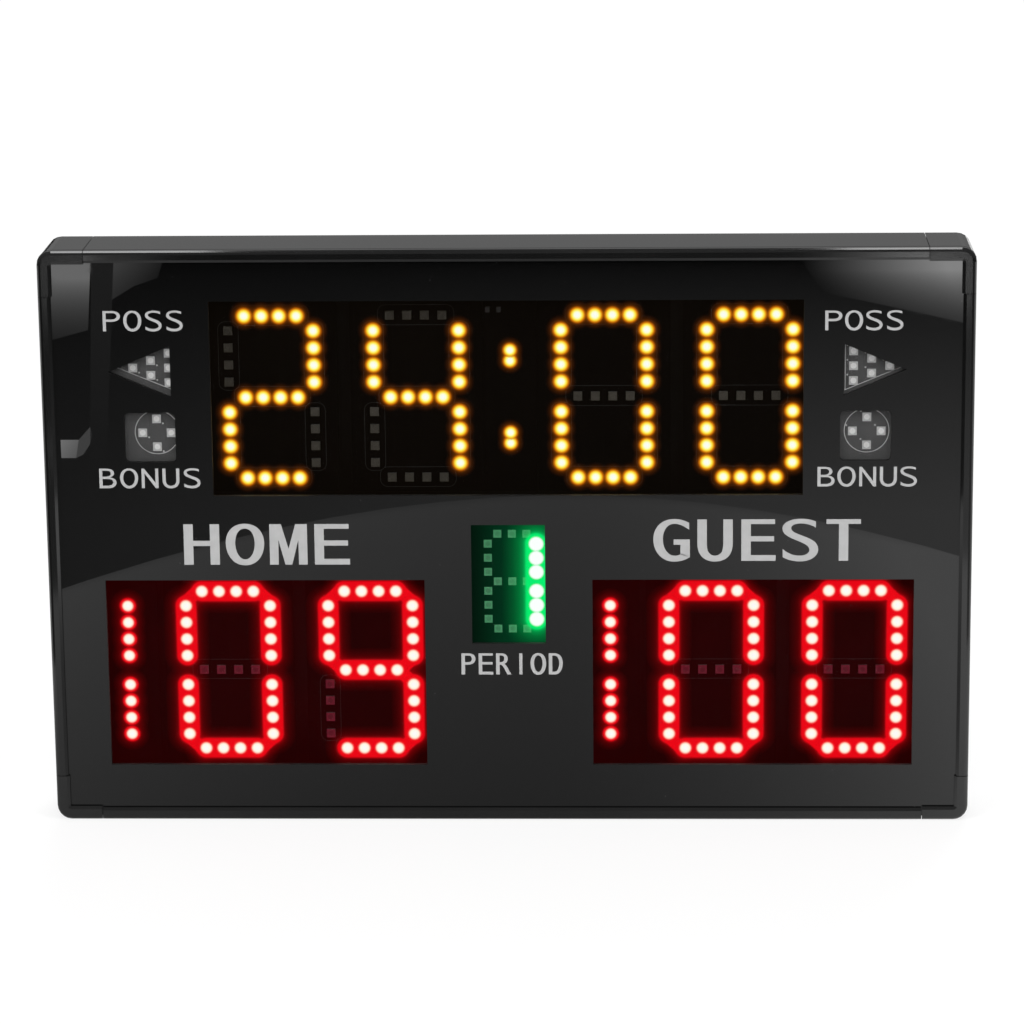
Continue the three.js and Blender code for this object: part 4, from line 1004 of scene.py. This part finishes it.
def bands_of(name, color, lit):
    """The lines of lamps whose halos run into one, each with its share of the full reach."""
    if name in LONE_SHARE or color == AMBER:
        return [(spot, spot, LONE_SHARE.get(name, 1)) for spot in lit]
    if color == GREEN:
        return [(lit[2], lit[-1], 1)]
    bars = [(lit[i], lit[i + 3], 1) for i in range(0, len(lit), 4)]
    ends = [spot for bar in bars for spot in bar[:2]]
    middle = sum(map(Vector, ends), Vector((0, 0))) / len(ends)
    for i, a in enumerate(ends):
        for b in ends[i + 1:]:
            if math.hypot(a[0] - b[0], a[1] - b[1]) < CORNER_GAP:
                out = ((Vector(a) + Vector(b)) / 2 - middle).normalized() * CORNER_SHIFT
                bars.append((Vector(a) + out, Vector(b) + out, CORNER_SHARE))
    return bars


for name, places in lamps.items():
    lit = [(x, z) for x, z, size, state in places if state != OFF]
    if not lit:
        continue
    color = next(state for x, z, size, state in places if state != OFF)
    heart_share = LONE_HEART_SHARE if name in LONE_SHARE else HEART_SHARE[color]
    hearts = [(spot, spot, heart_share) for spot in lit]
    halos = bands_of(name, color, lit)
    for layer, bands, reach, lift, finish in (
            ("_hearts", hearts, HEART_REACH[color], HEART_LIFT, HEARTS[color]),
            ("_halos", halos, HALO_REACH[color], HALO_LIFT, HALOS[color])):
        work = bmesh.new()
        uv = work.loops.layers.uv.new("spread")
        for number, (start, end, share) in enumerate(bands):
            depth = LAMP_FACE - lift + LAYER_STEP * number
            glow_band(work, uv, start, end, depth, reach * share)
        finish_piece(name + layer, work, [finish])

# %% [markdown]
# Thin printed lines on each board frame the lamps: a rounded rectangle round the lamps of a
# bar, and a triangle and a circle on the indicator boards. Each is a flat shape of one face,
# inset by the width of the line, with the middle taken out. It stands proud by the thickness
# of the ink. The shapes are drawn round the origin and then placed.

# %% Printed lines
INK = 0.03
FRAME_PAST_LAMPS = 14
FRAME_WIDTH = 12
UPRIGHT_SHORTER = 3.6
FRAME_CORNER, FRAME_LINE = 4.5, 0.3


def line_round(shape, line):
    """Keeps only the rim of a flat one-faced bmesh, as a mesh that faces -Y."""
    middle = shape.faces[:]
    bmesh.ops.inset_region(shape, faces=middle, thickness=line * MM, use_even_offset=True,
                           use_boundary=True)
    bmesh.ops.delete(shape, geom=middle, context="FACES_ONLY")
    stand_up(shape)
    return mesh_of(shape, "printed_line")


def rectangle_line(width, height, corner, line):
    shape = bmesh.new()
    bmesh.ops.create_grid(shape, x_segments=1, y_segments=1, size=0.5)
    bmesh.ops.scale(shape, verts=shape.verts[:], vec=(width * MM, height * MM, 1))
    bmesh.ops.bevel(shape, geom=shape.verts[:], offset=corner * MM, offset_type="OFFSET",
                    affect="VERTICES", segments=5, profile=0.5, material=-1)
    return line_round(shape, line)


def circle_line(radius, line, segments=48):
    shape = bmesh.new()
    bmesh.ops.create_circle(shape, segments=segments, radius=radius * MM, cap_ends=True)
    return line_round(shape, line)


def corner_line(corners, line):
    shape = bmesh.new()
    verts = [shape.verts.new((x * MM, z * MM, 0)) for x, z in corners]
    bmesh.ops.contextual_create(shape, geom=verts)
    bmesh.ops.recalc_face_normals(shape, faces=shape.faces[:])
    return line_round(shape, line)


def ink(name, tone):
    film = Finish(name)
    worn = film.noise(3, 3)
    return film.surface(Base_Color=film.mix(worn, grey(tone * 0.75), grey(tone)), Roughness=0.5)


def bar_frames(x, z, column, row, pitch, waist, count):
    """Centre and size of the frame round each bar of a digit."""
    length = pitch * (count - 1) + FRAME_PAST_LAMPS
    middle = waist + pitch * (count - 1) / 2
    frames = [(x, z + level, length, FRAME_WIDTH) for level in (row, 0, -row)]
    frames += [(x + side * column, z + sign * middle, FRAME_WIDTH, length - UPRIGHT_SHORTER)
               for side in (-1, 1) for sign in (1, -1)]
    return frames


INK_DEPTH = BOARD_FRONT - INK
board_ink, bright_ink = ink("board_ink", 0.055), ink("bright_ink", 0.95)
for name, x, z, number, color in DIGITS:
    work = bmesh.new()
    for middle_x, middle_z, width, height in bar_frames(x + LAMP_SHIFT, z, **BIG):
        line = rectangle_line(width, height, FRAME_CORNER, FRAME_LINE)
        append_mesh(work, line, at(middle_x, INK_DEPTH, middle_z))
    finish_piece(name + "_print", work, [board_ink])

# %% [markdown]
# On the indicator boards the ink is white and shows through the clear lens. A dot beside each
# lamp marks its first leg. The right board is the left one turned half round, so its dots lie
# on the other side.

# %% Lines of the indicator boards
RING_RADIUS = 13
ARROW_CORNERS = [(24.5, 0), (-11.0, 14.6), (-11.0, -14.6)]
ARROW_PLACE = (202.0, 96.3)
DOT_ASIDE, DOT_UP = 3.4, 3.06
DOT_SIZE, DOT_CORNER, DOT_LINE = 0.9, 0.2, 0.4
LINE = 0.42

for name, side in (("left_indicator", -1), ("right_indicator", 1)):
    work = bmesh.new()
    arrow = corner_line([(side * x, z) for x, z in ARROW_CORNERS], LINE)
    for line, (x, z) in ((circle_line(RING_RADIUS, LINE), RING_PLACE), (arrow, ARROW_PLACE)):
        append_mesh(work, line, at(side * x + LAMP_SHIFT, INK_DEPTH, z))
    dot = rectangle_line(DOT_SIZE, DOT_SIZE, DOT_CORNER, DOT_LINE)
    for x, z, size, state in lamps[name]:
        append_mesh(work, dot, at(x - side * DOT_ASIDE, INK_DEPTH, z + side * DOT_UP))
    finish_piece(name + "_print", work, [bright_ink])

# %% [markdown]
# The words on the face are screen printed in a plain sans typeface, stretched to the room that
# each word has. Blender's own typeface gives the outlines. Stretching alone would swell some
# strokes and thin others, so each letter is scaled to its box less the stroke, and then its
# outline is pushed out to the stroke that the print has, its own way across and up. At a
# corner both edges have to end in the right place, which is what a mitre does. Each row gives
# a word, where its letters begin and end, its lowest and highest level and its two strokes.

# %% Printed words
CAP_HEIGHT = 0.682
STEM = 0.098
WORD_INK = 0.05
WORDS = {
    "left_poss": ("POSS", [(-228.5, -218.6), (-216.8, -206.5), (-204.4, -195.1), (-192.4, -183.1)],
                  (121.7, 133.4), 1.8, 1.5),
    "right_poss": ("POSS", [(180.3, 189.9), (191.4, 201.6), (203.3, 212.5), (215.0, 224.2)],
                   (120.8, 132.1), 1.8, 1.5),
    "left_bonus": ("BONUS", [(-233.6, -223.8), (-221.7, -211.3), (-209.3, -199.7),
                             (-197.3, -187.6), (-185.1, -175.7)], (30.1, 41.6), 1.8, 1.5),
    "right_bonus": ("BONUS", [(176.6, 186.4), (187.9, 198.3), (200.3, 209.9),
                              (212.0, 221.7), (223.6, 233.0)], (30.2, 41.7), 1.8, 1.5),
    "home": ("HOME", [(-186.25, -165.7), (-162.1, -139.95), (-136.85, -115.2), (-111.0, -90.8)],
             (-15.3, 8.7), 5.4, 3.45),
    "guest": ("GUEST", [(83.2, 104.1), (108.4, 128.6), (133.5, 153.1), (156.9, 177.4),
                        (182.0, 201.6)], (-13.5, 11.0), 5.4, 3.45),
    "period": ("PERIOD", [(-27.6, -19.5), (-17.65, -9.25), (-7.6, 1.25), (5.8, 7.6), (12.25, 21.3),
                          (22.8, 30.9)], (-81.1, -68.4), 2.05, 1.7),
}
WORD_DEPTH = PANEL_FRONT - WORD_INK
FILM_SHARE = 0.8
MIDDLE_LIFT = 0.028
MITRE_LIMIT = 2.2
NEARLY_STRAIGHT = 0.3
NO_SLACK = 0.01
M_OUTLINE = [(0, 0), (0, 1), (0.31, 1), (0.5, 0.39), (0.69, 1), (1, 1), (1, 0), (0.77, 0),
             (0.765, 0.61), (0.59, 0), (0.41, 0), (0.235, 0.61), (0.23, 0)]


def letter_m(left, right, low, high):
    """The print's M differs from the typeface's: its middle reaches down to the base line."""
    shape = bmesh.new()
    corners = [shape.verts.new(at(left + (right - left) * a, WORD_DEPTH, low + (high - low) * b))
               for a, b in M_OUTLINE]
    for pair in zip(corners, corners[1:] + corners[:1]):
        bmesh.ops.contextual_create(shape, geom=pair)
    bmesh.ops.triangle_fill(shape, use_beauty=True, edges=shape.edges[:])
    return mesh_of(shape, "M")


def mitre(vert, grow_x, grow_z):
    """Moves an outline's point so that both its edges shift by the growth of their own way."""
    normals = []
    for loop in vert.link_loops:
        for side in (loop, loop.link_loop_prev):
            if side.edge.is_boundary:
                run = (side.link_loop_next.vert.co - side.vert.co).normalized()
                normals.append(Vector((run.y, -run.x, 0)) * math.copysign(1, loop.face.normal.z))
    if len(normals) != 2:
        return Vector((0, 0, 0))
    a, b = normals
    grow_a, grow_b = [grow_x * n.x ** 2 + grow_z * n.y ** 2 for n in normals]
    turn = a.x * b.y - a.y * b.x
    if abs(turn) < NEARLY_STRAIGHT:
        return (a * grow_a + b * grow_b) / 2
    move = Vector((grow_a * b.y - grow_b * a.y, grow_b * a.x - grow_a * b.x, 0)) / turn
    longest = MITRE_LIMIT * max(abs(grow_x), abs(grow_z))
    return move * min(1, longest / max(move.length, 1e-9))


def letter(char, left, right, low, high, stem, bar):
    """The flat mesh of one letter, fitted to its box on the face, with its strokes set."""
    curve = bpy.data.curves.new(char, "FONT")
    curve.body = char
    holder = add_object(char, curve)
    bpy.context.view_layer.update()
    evaluated = holder.evaluated_get(bpy.context.evaluated_depsgraph_get())
    flat = bpy.data.meshes.new_from_object(evaluated)
    bpy.data.objects.remove(holder)
    shape = bmesh.new()
    shape.from_mesh(flat)
    bmesh.ops.remove_doubles(shape, verts=shape.verts[:], dist=1e-5)
    start, end = min(v.co.x for v in shape.verts), max(v.co.x for v in shape.verts)
    slack = end - start - STEM
    only_stem = slack <= NO_SLACK
    scale_x = (right - left) / STEM if only_stem else (right - left - stem) / slack
    scale_z = (high - low - bar) / (CAP_HEIGHT - STEM)
    grow_x = 0 if only_stem else (stem - STEM * scale_x) / 2
    grow_z = (bar - STEM * scale_z) / 2
    for vert in shape.verts:
        share = vert.co.y / CAP_HEIGHT
        lift = MIDDLE_LIFT * (high - low) * 4 * share * (1 - share)
        vert.co = ((vert.co.x - start) * scale_x, vert.co.y * scale_z + lift, 0)
    moves = {vert: mitre(vert, grow_x, grow_z) for vert in shape.verts}
    for vert, move in moves.items():
        vert.co += move
    shift = left - min(v.co.x for v in shape.verts)
    for vert in shape.verts:
        vert.co = at(vert.co.x + shift, WORD_DEPTH, vert.co.y + low + grow_z)
    return mesh_of(shape, char)


def word_ink():
    word = Finish("word_ink")
    patch = word.noise(5, 3)
    return word.surface(
        Base_Color=word.mix(patch, grey(0.34), grey(0.43)),
        Roughness=0.45 + patch * 0.1,
        Specular_IOR_Level=0.3)


pale_ink = word_ink()
for name, (chars, spans, (low, high), stem, bar) in WORDS.items():
    work = bmesh.new()
    for char, (left, right) in zip(chars, spans):
        box = (left, right, low, high)
        work.from_mesh(letter_m(*box) if char == "M" else letter(char, *box, stem, bar))
    skin = bmesh.ops.extrude_face_region(work, geom=work.faces[:])["geom"]
    bmesh.ops.translate(work, verts=verts_of(skin), vec=(0, WORD_INK * MM * FILM_SHARE, 0))
    bmesh.ops.recalc_face_normals(work, faces=work.faces[:])
    finish_piece("word_" + name, work, [pale_ink])

# %% [markdown]
# Pan head screws hold the cover and the saddles. A screw is modelled once, standing on the
# origin: a grid of nine squares holds the driver's cross and its corners, its edge is extruded
# onto a circle as on the lamps, and two more rings make the rounded edge and the wall. Then
# the cross is pushed in. The depth beside each list of places is that of the sheet's rear.

# %% Screws on the rear
COVER_REAR, SADDLE_REAR = 16.5, 18.0
CROSS_HALF = 0.7
PIT_SHARE = 0.6
FLAT_SHARE = 0.36
SCREWS = {
    "cover_screws": (6.0, 2.0, COVER_REAR, [(side * x, z) for side in (-1, 1) for x, z in (
        (80, 312), (235, 312), (250, 168.5), (235, 25), (165, 25))]),
    "saddle_screws": (4.2, 1.5, SADDLE_REAR, [(side * 130.5, 205 + rise)
                                              for side in (-1, 1) for rise in (-8, 8)]),
}


def cross_screw(head, rise):
    screw = bmesh.new()
    bmesh.ops.create_grid(screw, x_segments=3, y_segments=3, size=0.25 * head * MM)
    inside = 0.2 * head * MM
    for vert in screw.verts:
        vert.co.x *= CROSS_HALF if abs(vert.co.x) < inside else 1
        vert.co.y *= CROSS_HALF if abs(vert.co.y) < inside else 1
    cross = [f for f in screw.faces if min(map(abs, f.calc_center_median().xy)) < 1e-6]
    outer = [e for e in screw.edges if e.is_boundary]
    edges = circle_from(screw, outer, FLAT_SHARE * head * MM)
    for reach, drop in ((0.5 / FLAT_SHARE, 0.45), (1.0, 0.55)):
        wall = bmesh.ops.extrude_edge_only(screw, edges=edges)["geom"]
        edges = edges_of(wall)
        bmesh.ops.scale(screw, verts=verts_of(wall), vec=(reach, reach, 1))
        bmesh.ops.translate(screw, verts=verts_of(wall), vec=(0, 0, -drop * rise * MM))
    pit = bmesh.ops.extrude_face_region(screw, geom=cross)["geom"]
    bmesh.ops.delete(screw, geom=cross, context="FACES_ONLY")
    bmesh.ops.translate(screw, verts=verts_of(pit), vec=(0, 0, -PIT_SHARE * rise * MM))
    bmesh.ops.recalc_face_normals(screw, faces=screw.faces[:])
    bmesh.ops.translate(screw, verts=screw.verts[:], vec=(0, 0, rise * MM))
    stand_up(screw, -90)
    return mesh_of(screw, "cross_screw")


for name, (head, rise, depth, places) in SCREWS.items():
    work = bmesh.new()
    screw = cross_screw(head, rise)
    for x, z in places:
        append_mesh(work, screw, Vector((x, depth, z)) * MM)
    finish_piece(name, work, [plate])

# %% [markdown]
# The rocker has the two usual marks, a bar for on and a ring for off. Its two halves slope, so
# each point of a mark is found by a ray that is shot at the rocker from behind, and stands
# proud of the hit by the ink. The marks ride on the rocker, so they tilt with it.

# %% Marks on the rocker
ON_X, OFF_X = 23.0, 13.6
BAR_SIZE, BAR_CORNER, BAR_LINE = (0.7, 4.2), 0.1, 0.34
RING_SIZE, RING_LINE, RING_SEGMENTS = 1.9, 0.6, 24
RAY_START = 40

rocker = nodes["power_rocker"]
back = rocker.matrix_world.inverted()


def on_rocker(x, z):
    start = back @ (Vector((x, RAY_START, z)) * MM)
    spot = rocker.ray_cast(start, back.to_3x3() @ Vector((0, -1, 0)))[1]
    return rocker.matrix_world @ spot + Vector((0, INK, 0)) * MM


work = bmesh.new()
bar_mark = rectangle_line(*BAR_SIZE, BAR_CORNER, BAR_LINE)
ring_mark = circle_line(RING_SIZE, RING_LINE, RING_SEGMENTS)
for mark, x in ((bar_mark, ON_X), (ring_mark, OFF_X)):
    append_mesh(work, mark, Vector((x, 0, SWITCH_ROW)) * MM)
for vert in work.verts:
    vert.co = on_rocker(vert.co.x / MM, vert.co.z / MM)
bmesh.ops.recalc_face_normals(work, faces=work.faces[:])
finish_piece("rocker_marks", work, [bright_ink], "rocker")

# %% Size and end
new_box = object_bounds()
growth = [abs(a - b) / MM for p, q in zip(cad_box, new_box) for a, b in zip(p, q)]
print("size grew by mm", [round(step, 2) for step in growth])
